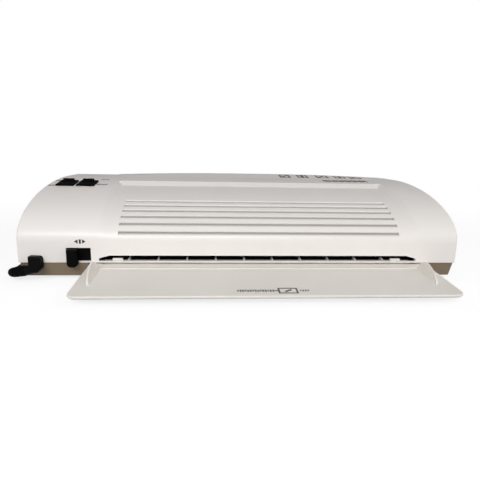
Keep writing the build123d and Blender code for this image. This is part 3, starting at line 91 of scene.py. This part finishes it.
def photo_camera():
    flat = math.cos(CAMERA_PITCH)
    ahead = Vector((math.sin(CAMERA_YAW) * flat, math.cos(CAMERA_YAW) * flat, -math.sin(CAMERA_PITCH)))
    level = Vector((math.cos(CAMERA_YAW), -math.sin(CAMERA_YAW), 0))
    lift = level.cross(ahead)
    right = math.cos(CAMERA_ROLL) * level + math.sin(CAMERA_ROLL) * lift
    up = -math.sin(CAMERA_ROLL) * level + math.cos(CAMERA_ROLL) * lift
    lens = bpy.data.cameras.new("photo_camera")
    lens.lens = LENS_LENGTH
    lens.sensor_width = SENSOR_WIDTH
    lens.clip_start = NEAREST_SEEN
    camera = bpy.data.objects.new("photo_camera", lens)
    bpy.context.scene.collection.objects.link(camera)
    turn = Matrix((right, up, -ahead)).transposed().to_4x4()
    camera.matrix_world = Matrix.Translation(at(*CAMERA_PLACE)) @ turn
    bpy.context.scene.camera = camera


photo_camera()


# Mains lead

LEAD_RADIUS = 0.0025
LEAD_EXIT = (-161.467, -3.0, -5.312)
LEAD_DROOP = math.radians(12)
LEAD_STUB = 6.9
AROUND_CORNER = (
    (-173.7, 2.2, -8.2), (-175.4, 14.6, -10.0), (-178.6, 37.0, -11.7), (-182.0, 76.0, -11.95),
    (-182.6, 116.0, -11.95), (-181.5, 148.0, -11.95), (-173.5, 172.5, -11.95), (-156.0, 184.0, -11.55),
    (-135.5, 184.7, -10.8), (-117.0, 184.7, -10.8))
TO_PLUG = ((-107.0, 184.7, -5.2), (-92.0, 184.7, -5.2), (-76.0, 188.1, -5.2), (-61.0, 189.3, -5.2))
COIL_X = -112.0
COIL_START_Y = 184.7
COIL_LOW_Z = -10.8
COIL_HIGH_Z = -5.2
HALF_TURNS = (37.3, 34.5, 31.7, 28.9, 26.1, 23.3, 20.5, 23.3, 26.1, 28.9, 31.7, 34.5)
CLIMB = 6
STEPS = 8


def lead_route():
    """Points that guide the lead: round the left front corner, along the side, the coil, to the plug."""
    start = Vector(LEAD_EXIT)
    away = Vector((-math.cos(LEAD_DROOP), 0, -math.sin(LEAD_DROOP)))
    route = [start, start + LEAD_STUB * away]
    route += [Vector(place) for place in AROUND_CORNER]
    low = COIL_START_Y
    going_right = True
    height = COIL_LOW_Z
    for number, radius in enumerate(HALF_TURNS):
        side = 1 if going_right else -1
        middle = low + side * radius
        reach = radius / math.cos(math.pi / (2 * STEPS))
        for step in range(STEPS):
            part = (step + 0.5) / STEPS
            swing = math.pi * part
            if number == CLIMB:
                height = COIL_LOW_Z + (COIL_HIGH_Z - COIL_LOW_Z) * part
            route.append(Vector((COIL_X + side * reach * math.sin(swing),
                                 middle - side * reach * math.cos(swing), height)))
        low += side * 2 * radius
        going_right = not going_right
    route += [Vector(place) for place in TO_PLUG]
    return [at(*place) for place in route]


def mains_lead():
    curve = bpy.data.curves.new("mains_lead", "CURVE")
    curve.dimensions = "3D"
    line = curve.splines.new("NURBS")
    route = lead_route()
    line.points.add(len(route) - 1)
    for point, place in zip(line.points, route):
        point.co = (*place, 1)
        point.radius = LEAD_RADIUS
    line.order_u = 3
    line.use_endpoint_u = True
    line.resolution_u = 6
    curve.bevel_depth = 1.0  # times each point's radius
    curve.bevel_resolution = 5
    curve.use_fill_caps = True
    lead = bpy.data.objects.new("mains_lead", curve)
    bpy.context.scene.collection.objects.link(lead)
    return lead


lead = mains_lead()
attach(lead, "housing")
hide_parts("cord_run", "cord_coil", "cord_tail")


def lead_line():
    """Points along the lead's own line, read from its spline with the bevel off."""
    thick = lead.data.bevel_depth
    lead.data.bevel_depth = 0
    bare = bpy.data.meshes.new_from_object(lead)
    lead.data.bevel_depth = thick
    line = [v.co.copy() for v in bare.vertices]
    bpy.data.meshes.remove(bare)
    return line


# Finishes

GRAIN_SIZE = 1800.0
GLOSS_SIZE = 22.0
TONE_SIZE = 9.0
TONE_BAND = (0.35, 0.65)


def new_group(name, inputs, outputs):
    group = bpy.data.node_groups.new(name, "ShaderNodeTree")
    for label, kind, value in inputs:
        socket = group.interface.new_socket(name=label, in_out="INPUT", socket_type=kind)
        socket.default_value = value
    for label, kind in outputs:
        group.interface.new_socket(name=label, in_out="OUTPUT", socket_type=kind)
    enter = group.nodes.new("NodeGroupInput")
    leave = group.nodes.new("NodeGroupOutput")
    return group, enter, leave


def moulded_grain():
    """Fine spark-eroded grain of a mould: a height for a bump, and a roughness that follows it."""
    group, enter, leave = new_group(
        "moulded_grain",
        [("Size", "NodeSocketFloat", GRAIN_SIZE), ("Roughness", "NodeSocketFloat", 0.4),
         ("Spread", "NodeSocketFloat", 0.06)],
        [("Height", "NodeSocketFloat"), ("Roughness", "NodeSocketFloat")])
    tree = group.nodes
    place = tree.new("ShaderNodeTexCoord")
    fine = tree.new("ShaderNodeTexNoise")
    fine.inputs["Detail"].default_value = 3.0
    broad = tree.new("ShaderNodeTexNoise")
    broad.inputs["Scale"].default_value = GLOSS_SIZE
    broad.inputs["Detail"].default_value = 4.0
    centre = tree.new("ShaderNodeMath")
    centre.operation = "SUBTRACT"
    centre.inputs[1].default_value = 0.5
    spread = tree.new("ShaderNodeMath")
    spread.operation = "MULTIPLY_ADD"
    link = group.links.new
    link(place.outputs["Object"], fine.inputs["Vector"])
    link(place.outputs["Object"], broad.inputs["Vector"])
    link(enter.outputs["Size"], fine.inputs["Scale"])
    link(fine.outputs["Fac"], leave.inputs["Height"])
    link(broad.outputs["Fac"], centre.inputs[0])
    link(centre.outputs[0], spread.inputs[0])
    link(enter.outputs["Spread"], spread.inputs[1])
    link(enter.outputs["Roughness"], spread.inputs[2])
    link(spread.outputs[0], leave.inputs["Roughness"])
    return group


def tone_drift():
    """Slow drift between two tones of one colour."""
    group, enter, leave = new_group(
        "tone_drift",
        [("Colour", "NodeSocketColor", (0.8, 0.8, 0.8, 1)), ("Other", "NodeSocketColor", (0.7, 0.7, 0.7, 1)),
         ("Size", "NodeSocketFloat", TONE_SIZE)],
        [("Colour", "NodeSocketColor")])
    tree = group.nodes
    place = tree.new("ShaderNodeTexCoord")
    cloud = tree.new("ShaderNodeTexNoise")
    cloud.inputs["Detail"].default_value = 5.0
    cloud.inputs["Roughness"].default_value = 0.6
    ramp = tree.new("ShaderNodeMapRange")
    ramp.inputs["From Min"].default_value = TONE_BAND[0]
    ramp.inputs["From Max"].default_value = TONE_BAND[1]
    mix = tree.new("ShaderNodeMix")
    mix.data_type = "RGBA"
    link = group.links.new
    link(place.outputs["Object"], cloud.inputs["Vector"])
    link(enter.outputs["Size"], cloud.inputs["Scale"])
    link(cloud.outputs["Fac"], ramp.inputs["Value"])
    link(ramp.outputs["Result"], mix.inputs["Factor"])
    link(enter.outputs["Colour"], mix.inputs["A"])
    link(enter.outputs["Other"], mix.inputs["B"])
    link(mix.outputs["Result"], leave.inputs["Colour"])
    return group


def calc(tree, operation, first, second=None):
    """Math node whose inputs are each a socket or a number."""
    node = tree.nodes.new("ShaderNodeMath")
    node.operation = operation
    for number, value in enumerate((first, second)):
        if value is None:
            continue
        if isinstance(value, (int, float)):
            node.inputs[number].default_value = value
        else:
            tree.links.new(value, node.inputs[number])
    return node.outputs[0]


# The panel's curve is a quarter ellipse: its reach back and its rise above the nose, in mm. The shade starts
# and is full at two depths under that curve, in metres.
CREST_REACH = 124.0
NOSE_HEIGHT = 16.0
PANEL_RISE = 37.2
# LOUVRE_SHADE sets painted shade: a darker colour under the louvre lips and inside the cover, standing in for
# shadow.
LOUVRE_SHADE = (0.00045, 0.00105)
# Where the painted shade starts and is full inside the exit slot, in mm behind the front plane.
GUIDE_SHADE = (8.0, 11.5)


def new_shade_group(name):
    """Group that takes a colour and a painted shade, with the place on the object split into its axes."""
    group, enter, leave = new_group(
        name,
        [("Colour", "NodeSocketColor", (0.8, 0.8, 0.8, 1)), ("Shade", "NodeSocketColor", (0.3, 0.3, 0.3, 1))],
        [("Colour", "NodeSocketColor")])
    place = group.nodes.new("ShaderNodeTexCoord")
    split = group.nodes.new("ShaderNodeSeparateXYZ")
    group.links.new(place.outputs["Object"], split.inputs[0])
    return group, enter, leave, split


def smooth_mask(group, value, limits):
    """Mask that rises softly from 0 to 1 while a value goes from one limit to the other."""
    ramp = group.nodes.new("ShaderNodeMapRange")
    ramp.interpolation_type = "SMOOTHSTEP"
    ramp.inputs["From Min"].default_value = limits[0]
    ramp.inputs["From Max"].default_value = limits[1]
    group.links.new(value, ramp.inputs["Value"])
    return ramp.outputs["Result"]


def put_shade(group, enter, leave, mask):
    mix = group.nodes.new("ShaderNodeMix")
    mix.data_type = "RGBA"
    group.links.new(mask, mix.inputs["Factor"])
    group.links.new(enter.outputs["Colour"], mix.inputs["A"])
    group.links.new(enter.outputs["Shade"], mix.inputs["B"])
    group.links.new(mix.outputs["Result"], leave.inputs["Colour"])


def shaded_recess():
    """Painted shade that darkens what lies under the panel's curve: the louvres, the cover's inside, its
    sides and its back.
    """
    group, enter, leave, split = new_shade_group("shaded_recess")
    crest = at(0, CREST_REACH, NOSE_HEIGHT)
    back = calc(group, "DIVIDE", calc(group, "SUBTRACT", crest.y, split.outputs["Y"]), CREST_REACH / 1000)
    up = calc(group, "DIVIDE", calc(group, "SUBTRACT", split.outputs["Z"], crest.z), PANEL_RISE / 1000)
    share = calc(group, "ADD", calc(group, "MULTIPLY", back, back), calc(group, "MULTIPLY", up, up))
    across = calc(group, "DIVIDE", back, CREST_REACH / 1000)
    rise = calc(group, "DIVIDE", up, PANEL_RISE / 1000)
    steep = calc(group, "ADD", calc(group, "MULTIPLY", across, across), calc(group, "MULTIPLY", rise, rise))
    steep = calc(group, "MULTIPLY", calc(group, "SQRT", steep), 2.0)
    lack = calc(group, "DIVIDE", calc(group, "SUBTRACT", 1.0, share), steep)
    above = calc(group, "GREATER_THAN", split.outputs["Z"], crest.z)
    put_shade(group, enter, leave, calc(group, "MULTIPLY", smooth_mask(group, lack, LOUVRE_SHADE), above))
    return group


def shaded_depth():
    """Painted shade that darkens what lies further back than a plane behind the front of the machine."""
    group, enter, leave, split = new_shade_group("shaded_depth")
    limits = [at(0, depth, 0).y for depth in GUIDE_SHADE]
    put_shade(group, enter, leave, smooth_mask(group, split.outputs["Y"], limits))
    return group


GRAIN = moulded_grain()
DRIFT = tone_drift()
RECESS = shaded_recess()
DEPTH = shaded_depth()


BUMP_DISTANCE = 0.0002
EDGE_SAMPLES = 6


def finish_of(name, colour, other, rough, spread=0.06, bump=0.08, metallic=0.0, specular=0.5, edge=0.0,
              shading=None, shade=None):
    """Material of one finish: two tones that drift, a grain, and where asked a softened edge and a painted
    shade.
    """
    material = bpy.data.materials.new(name)
    material.use_nodes = True
    tree = material.node_tree
    shader = tree.nodes["Principled BSDF"]
    texture = tree.nodes.new("ShaderNodeGroup")
    texture.node_tree = GRAIN
    texture.inputs["Roughness"].default_value = rough
    texture.inputs["Spread"].default_value = spread
    tone = tree.nodes.new("ShaderNodeGroup")
    tone.node_tree = DRIFT
    tone.inputs["Colour"].default_value = colour
    tone.inputs["Other"].default_value = other
    dent = tree.nodes.new("ShaderNodeBump")
    dent.inputs["Strength"].default_value = bump
    dent.inputs["Distance"].default_value = BUMP_DISTANCE
    if edge:
        round_off = tree.nodes.new("ShaderNodeBevel")
        round_off.samples = EDGE_SAMPLES
        round_off.inputs["Radius"].default_value = edge
        tree.links.new(round_off.outputs["Normal"], dent.inputs["Normal"])
    colours = tone.outputs["Colour"]
    if shading:
        shaded = tree.nodes.new("ShaderNodeGroup")
        shaded.node_tree = shading
        shaded.inputs["Shade"].default_value = shade
        tree.links.new(colours, shaded.inputs["Colour"])
        colours = shaded.outputs["Colour"]
    tree.links.new(colours, shader.inputs["Base Color"])
    tree.links.new(texture.outputs["Roughness"], shader.inputs["Roughness"])
    tree.links.new(texture.outputs["Height"], dent.inputs["Height"])
    tree.links.new(dent.outputs["Normal"], shader.inputs["Normal"])
    shader.inputs["Metallic"].default_value = metallic
    shader.inputs["Specular IOR Level"].default_value = specular
    return material


# cover_white takes painted shade from shaded_recess in the louvres and inside the cover.
cover_white = finish_of("cover_white", tint(240, 235, 231), tint(236, 231, 226), 0.34, shading=RECESS,
                        shade=tint(172, 168, 166))
tray_white = finish_of("tray_white", tint(240, 235, 228), tint(235, 230, 222), 0.42)
# guide_white turns near black deep in the exit slot: painted shade from shaded_depth.
guide_white = finish_of("guide_white", tint(236, 232, 226), tint(231, 227, 220), 0.42, shading=DEPTH,
                        shade=tint(30, 22, 19))
base_grey = finish_of("base_grey", tint(138, 121, 97), tint(131, 114, 91), 0.5, edge=0.0005)
black_plastic = finish_of("black_plastic", tint(9, 9, 9), tint(13, 12, 12), 0.55, bump=0.12, specular=0.03,
                          edge=0.0004)
foot_rubber = finish_of("foot_rubber", tint(34, 33, 32), tint(42, 41, 39), 0.8, bump=0.2, specular=0.3)
silicone = finish_of("silicone", tint(44, 24, 19), tint(38, 21, 17), 0.6, bump=0.05, specular=0.25)
steel = finish_of("steel", tint(176, 177, 178), tint(164, 166, 168), 0.32, spread=0.15, metallic=1.0,
                  bump=0.05)
aluminium = finish_of("aluminium", tint(46, 44, 42), tint(40, 38, 36), 0.5, spread=0.12, specular=0.3)
gear_plastic = finish_of("gear_plastic", tint(226, 221, 205), tint(218, 212, 194), 0.45)
bush_plastic = finish_of("bush_plastic", tint(44, 36, 31), tint(50, 42, 36), 0.5)
heater = finish_of("heater", tint(120, 84, 48), tint(98, 68, 40), 0.5)
lead_black = finish_of("lead_black", tint(10, 10, 10), tint(14, 14, 13), 0.5, bump=0.06, specular=0.05)
plated_pins = finish_of("plated_pins", tint(206, 196, 168), tint(196, 184, 154), 0.25, spread=0.12,
                        metallic=1.0)
ink_dark = finish_of("ink_dark", tint(40, 38, 36), tint(48, 46, 43), 0.5, bump=0.02)
ink_olive = finish_of("ink_olive", tint(92, 80, 52), tint(102, 88, 60), 0.5, bump=0.02)
ink_grey = finish_of("ink_grey", tint(104, 100, 96), tint(112, 108, 103), 0.5, bump=0.02)
ink_tray = finish_of("ink_tray", tint(84, 80, 68), tint(92, 88, 76), 0.5, bump=0.02)

FINISHES = {
    "cover_white": cover_white, "base_grey": base_grey, "black_plastic": black_plastic,
    "foot_rubber": foot_rubber, "silicone": silicone, "steel": steel, "aluminium": aluminium,
    "gear_plastic": gear_plastic, "bush_plastic": bush_plastic, "heater": heater, "cord_black": lead_black,
    "plated_pins": plated_pins,
}
for part in frame["record"]["subparts"]:
    piece = nodes[part["node"]]
    piece.data.materials.clear()
    piece.data.materials.append(FINISHES[part["material_slot"]])
nodes["exit_tray"].data.materials[0] = tray_white
nodes["exit_guide"].data.materials[0] = guide_white
lead.data.materials.append(lead_black)


# Sleeve of the strain relief

SLEEVE_LENGTH = 0.024
SLEEVE_RADII = (0.0040, 0.0028)
SLEEVE_BORE = 0.0024
SLEEVE_WALL = 0.0002
PLAIN_START = 0.0028
PLAIN_END = 0.0012
RIB_SPACING = 0.0026
RIB_SHARE = 0.62
RIB_ROUNDING = 0.09
GROOVE_DEPTH = 0.00055
SLEEVE_SIDES = 28
STATION_STEP = 0.0002
SHORTEST_STEP = 1e-7


def new_piece(name, form, material, body="housing", smooth=True):
    """Turn a bmesh into a piece that rides on a body, takes a slot and has one finish."""
    mesh = bpy.data.meshes.new(name)
    bmesh.ops.recalc_face_normals(form, faces=form.faces)
    form.to_mesh(mesh)
    form.free()
    for face in mesh.polygons:
        face.use_smooth = smooth
    mesh.materials.append(material)
    piece = bpy.data.objects.new(name, mesh)
    bpy.context.scene.collection.objects.link(piece)
    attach(piece, body)


def stations(line, reach):
    """Places along a line up to a reach, each with its distance from the start and its direction."""
    walked = 0.0
    found = []
    for here, ahead in zip(line, line[1:]):
        step = (ahead - here).length
        if step < SHORTEST_STEP:
            continue
        parts = max(1, math.ceil(step / STATION_STEP))
        for k in range(parts):
            run = walked + step * k / parts
            if run > reach:
                return found
            found.append((run, here.lerp(ahead, k / parts), (ahead - here).normalized()))
        walked += step
    return found


def sleeve_radius(run):
    """Outer radius at a distance from the sleeve's start: a taper with rounded ribs, plain at both ends."""
    share = run / SLEEVE_LENGTH
    radius = SLEEVE_RADII[0] + (SLEEVE_RADII[1] - SLEEVE_RADII[0]) * share
    phase = run / RIB_SPACING % 1.0
    edge = min(phase, RIB_SHARE - phase) if phase < RIB_SHARE else 0.0
    lift = min(1.0, edge / RIB_ROUNDING)
    lift = lift * lift * (3 - 2 * lift)
    if run < PLAIN_START or run > SLEEVE_LENGTH - PLAIN_END:
        lift = 1.0
    return max(SLEEVE_BORE + SLEEVE_WALL, radius - GROOVE_DEPTH * (1.0 - lift))


def strain_sleeve():
    """Ribbed, tapering sleeve round the start of the lead, following the lead's own line."""
    form = bmesh.new()
    rings = []
    side = Vector((0, 0, 1))
    places = stations(lead_line(), SLEEVE_LENGTH)
    profile = [(place, way, sleeve_radius(run)) for run, place, way in places]
    profile.insert(0, (*profile[0][:2], SLEEVE_BORE))
    profile.append((*profile[-1][:2], SLEEVE_BORE))
    for place, way, radius in profile:
        side = (side - way * side.dot(way)).normalized()
        other = way.cross(side)
        ring = []
        for k in range(SLEEVE_SIDES):
            turn = 2 * math.pi * k / SLEEVE_SIDES
            ring.append(form.verts.new(place + radius * (math.cos(turn) * side + math.sin(turn) * other)))
        rings.append(ring)
    rings.append(rings[0])
    for near, far in zip(rings, rings[1:]):
        for k in range(SLEEVE_SIDES):
            j = (k + 1) % SLEEVE_SIDES
            form.faces.new((near[k], near[j], far[j], far[k]))
    new_piece("strain_sleeve", form, black_plastic)


strain_sleeve()


# Printed marks: outlines in mm, each laid on the surface below it

# In metres: how far a mark stands proud of the surface, and its whole thickness
MARK_LIFT = 0.00005
MARK_DEPTH = 0.00007
# In metres: how far from the mark's centre the cast starts that finds the surface, and how far it reaches
CAST_FROM = 0.02
CAST_REACH = 0.05
# Times that a mark's outlines are halved, so that they follow a curved surface
MARK_CUTS = 2
# In mm above the seam: a height that marks on top of the cover are cast from
COVER_CAST_Z = 50
# Share of a row's height that is left off some strokes, at their foot and at their head
SHORT_FOOT = 0.2
SHORT_HEAD = 0.15


def skin_of(name):
    """Surface of a CAD piece, to lay marks on."""
    piece = nodes[name]
    places = [piece.matrix_world @ v.co for v in piece.data.vertices]
    return BVHTree.FromPolygons(places, [tuple(p.vertices) for p in piece.data.polygons])


def bar(a0, b0, a1, b1, thick):
    """Straight stroke from one point to another, as a four-cornered outline."""
    along = Vector((a1 - a0, b1 - b0))
    across = Vector((-along.y, along.x)).normalized() * thick / 2
    ends = (Vector((a0, b0)), Vector((a1, b1)))
    return [tuple(ends[0] - across), tuple(ends[1] - across),
            tuple(ends[1] + across), tuple(ends[0] + across)]


def frame_of(a0, b0, a1, b1, thick):
    """Four strokes round a rectangle."""
    half = thick / 2
    return [bar(a0 - half, b0, a1 + half, b0, thick), bar(a0 - half, b1, a1 + half, b1, thick),
            bar(a0, b0 + half, a0, b1 - half, thick), bar(a1, b0 + half, a1, b1 - half, thick)]


def printed(name, outlines, centre, right, up, skin, ink, body="housing"):
    """Thin printed mark: outlines in mm round a centre, laid on the surface below them."""
    form = bmesh.new()
    right = Vector(right).normalized()
    up = Vector(up).normalized()
    away = right.cross(up).normalized()
    for outline in outlines:
        corners = [form.verts.new((a / 1000, b / 1000, 0)) for a, b in outline]
        form.faces.new(corners)
    for cut in range(MARK_CUTS):
        bmesh.ops.subdivide_edges(form, edges=form.edges[:], cuts=1, use_grid_fill=True)
    bmesh.ops.triangulate(form, faces=form.faces[:])
    for vert in form.verts:
        above = centre + vert.co.x * right + vert.co.y * up + CAST_FROM * away
        spot, lean = skin.ray_cast(above, -away, CAST_REACH)[:2]
        if lean.dot(away) < 0:
            lean = -lean
        vert.co = spot + MARK_LIFT * lean
    grown = bmesh.ops.extrude_face_region(form, geom=form.faces[:])
    for vert in [v for v in grown["geom"] if isinstance(v, bmesh.types.BMVert)]:
        vert.co -= MARK_DEPTH * away
    new_piece(name, form, ink, body, smooth=False)


def dashes(a0, a1, b0, b1, count, share):
    """Row of upright strokes that stands in for a line of small print."""
    pitch = (a1 - a0) / count
    row = []
    for k in range(count):
        low = b0 if k % 3 else b0 + SHORT_FOOT * (b1 - b0)
        high = b1 if k % 4 else b1 - SHORT_HEAD * (b1 - b0)
        middle = a0 + (k + 0.5) * pitch
        row.append(bar(middle, low, middle, high, share * pitch))
    return row


ALONG = (1, 0, 0)
BACK = (0, 1, 0)
UP = (0, 0, 1)
cover_skin = skin_of("top_cover")
tray_skin = skin_of("exit_tray")


def cover_mark(name, outlines, x, y, ink):
    """Mark on top of the cover."""
    printed(name, outlines, at(x, y, COVER_CAST_Z), ALONG, BACK, cover_skin, ink)


cover_mark("power_mark_near", dashes(-3.2, 3.2, -1.9, 1.9, 5, 0.7), -163.2, 65.0, ink_grey)
cover_mark("power_mark_far", dashes(-2.2, 2.2, -2.4, 2.4, 3, 0.7), -163.8, 84.0, ink_grey)
cover_mark("mode_mark_near", dashes(-4.8, 4.8, -1.9, 1.9, 7, 0.72), -121.5, 69.5, ink_grey)
cover_mark("mode_mark_far", dashes(-4.0, 4.0, -2.2, 2.2, 5, 0.7), -124.0, 92.0, ink_grey)

# Five pictures in a row: place of each in mm, and half its width
PICTURES = ((52, 136, 4.6), (71, 137, 4.6), (92, 138, 5.4), (111, 137, 4.8), (127, 136, 5.4))
for number, (x, y, half) in enumerate(PICTURES, 1):
    outlines = frame_of(-half, -8.0, half, 8.0, 2.0)
    if number % 2:
        outlines.append(bar(-half + 1.2, -6.0, half - 1.2, 6.0, 2.6))
    else:
        outlines.append(bar(0, -6.4, 0, 6.4, 3.4))
    cover_mark(f"step_picture_{number}", outlines, x, y, ink_olive)
cover_mark("step_line", dashes(-22.5, 22.5, -6.5, 6.5, 20, 0.7), 107.0, 104.0, ink_dark)

ARROWS = [[(-4.2, 0.0), (-1.6, -1.6), (-1.6, 1.6)], [(4.2, 0.0), (1.6, 1.6), (1.6, -1.6)],
          bar(0, -1.6, 0, 1.6, 1.5)]
printed("release_mark", ARROWS, at(-122.0, 0, 16.0), ALONG, UP, cover_skin, ink_dark)

PAGE = frame_of(-6.0, -3.6, 6.0, 3.6, 1.3) + [bar(-2.0, -1.6, 2.6, 1.6, 1.8), bar(-9.0, 0, -6.0, 0, 1.3)]
PAGE += dashes(-34.0, -9.0, -1.7, 1.7, 15, 0.66)
PAGE += dashes(7.6, 14.5, -1.3, 1.3, 4, 0.6)
printed("tray_mark", PAGE, at(25.5, -47.6, 0), ALONG, BACK, tray_skin, ink_tray, "exit_tray")


# Floor, backdrop and light

FLOOR_SIZE = 6.0
FLOOR_TONE = 0.32
FLOOR_GLOW = 0.78
FLOOR_FADE = (0.26, 0.6)


def stage_floor():
    """Pale floor that takes the object's shadow and fades to plain white away from it."""
    mesh = bpy.data.meshes.new("studio_floor")
    form = bmesh.new()
    bmesh.ops.create_grid(form, x_segments=2, y_segments=2, size=FLOOR_SIZE)
    form.to_mesh(mesh)
    form.free()
    floor = bpy.data.objects.new("studio_floor", mesh)
    bpy.context.scene.collection.objects.link(floor)
    material = bpy.data.materials.new("studio_floor")
    material.use_nodes = True
    tree = material.node_tree
    shader = tree.nodes["Principled BSDF"]
    shader.inputs["Base Color"].default_value = (FLOOR_TONE, FLOOR_TONE, FLOOR_TONE, 1)
    shader.inputs["Roughness"].default_value = 1.0
    shader.inputs["Specular IOR Level"].default_value = 0.0
    path = tree.nodes.new("ShaderNodeLightPath")
    seen = calc(tree, "MAXIMUM", path.outputs["Is Camera Ray"], path.outputs["Is Glossy Ray"])
    lamp = tree.nodes.new("ShaderNodeEmission")
    both = tree.nodes.new("ShaderNodeAddShader")
    place = tree.nodes.new("ShaderNodeTexCoord")
    distance = tree.nodes.new("ShaderNodeVectorMath")
    distance.operation = "LENGTH"
    fade = tree.nodes.new("ShaderNodeMapRange")
    fade.interpolation_type = "SMOOTHSTEP"
    fade.inputs["From Min"].default_value = FLOOR_FADE[0]
    fade.inputs["From Max"].default_value = FLOOR_FADE[1]
    white = tree.nodes.new("ShaderNodeEmission")
    white.inputs["Strength"].default_value = 1.0
    blend = tree.nodes.new("ShaderNodeMixShader")
    link = tree.links.new
    link(calc(tree, "MULTIPLY", seen, FLOOR_GLOW), lamp.inputs["Strength"])
    link(shader.outputs[0], both.inputs[0])
    link(lamp.outputs[0], both.inputs[1])
    link(place.outputs["Object"], distance.inputs[0])
    link(distance.outputs["Value"], fade.inputs["Value"])
    link(calc(tree, "MULTIPLY", fade.outputs["Result"], seen), blend.inputs["Fac"])
    link(both.outputs[0], blend.inputs[1])
    link(white.outputs[0], blend.inputs[2])
    link(blend.outputs[0], tree.nodes["Material Output"].inputs["Surface"])
    mesh.materials.append(material)


ROOM_FRONT = 0.78
ROOM_BACK = 0.3
ZENITH_SHARE = 0.35
# Each range: axis of the direction, where it starts and ends, and the levels there
ROOM_RANGES = (("Y", -0.8, 0.8, ROOM_FRONT, ROOM_BACK), ("Z", 0.1, 0.9, 1.0, ZENITH_SHARE))


def studio_world():
    """Room light, strongest from the front and near the floor. The camera sees plain white instead."""
    world = bpy.data.worlds.new("studio")
    bpy.context.scene.world = world
    world.use_nodes = True
    tree = world.node_tree
    tree.nodes.clear()
    path = tree.nodes.new("ShaderNodeLightPath")
    room = tree.nodes.new("ShaderNodeBackground")
    room.inputs["Color"].default_value = (0.98, 0.985, 1.0, 1)
    way = tree.nodes.new("ShaderNodeTexCoord")
    split = tree.nodes.new("ShaderNodeSeparateXYZ")
    tree.links.new(way.outputs["Generated"], split.inputs[0])
    levels = []
    for axis, first, last, low, high in ROOM_RANGES:
        level = tree.nodes.new("ShaderNodeMapRange")
        level.inputs["From Min"].default_value = first
        level.inputs["From Max"].default_value = last
        level.inputs["To Min"].default_value = low
        level.inputs["To Max"].default_value = high
        tree.links.new(split.outputs[axis], level.inputs["Value"])
        levels.append(level.outputs["Result"])
    white = tree.nodes.new("ShaderNodeBackground")
    white.inputs["Color"].default_value = (1, 1, 1, 1)
    white.inputs["Strength"].default_value = 1.0
    mix = tree.nodes.new("ShaderNodeMixShader")
    leave = tree.nodes.new("ShaderNodeOutputWorld")
    link = tree.links.new
    link(calc(tree, "MULTIPLY", levels[0], levels[1]), room.inputs["Strength"])
    link(path.outputs["Is Camera Ray"], mix.inputs["Fac"])
    link(room.outputs[0], mix.inputs[1])
    link(white.outputs[0], mix.inputs[2])
    link(mix.outputs[0], leave.inputs["Surface"])


LIT_SPOT = (0, 0, 0.03)


def soft_light(name, place, size, power):
    """Wide lamp that looks at the middle of the machine."""
    lamp = bpy.data.lights.new(name, "AREA")
    lamp.shape = "RECTANGLE"
    lamp.size, lamp.size_y = size
    lamp.energy = power
    holder = bpy.data.objects.new(name, lamp)
    bpy.context.scene.collection.objects.link(holder)
    holder.location = place
    holder.rotation_euler = (Vector(LIT_SPOT) - Vector(place)).to_track_quat("-Z", "Y").to_euler()


stage_floor()
studio_world()
soft_light("key_light", (-0.25, -1.5, 0.95), (1.3, 0.5), 18.0)
soft_light("fill_light", (1.4, -0.6, 0.8), (1.0, 0.8), 3.5)
soft_light("back_light", (0.1, 1.4, 1.2), (1.6, 0.9), 0.5)

bpy.context.scene.view_settings.view_transform = "Standard"

bpy.context.view_layer.update()
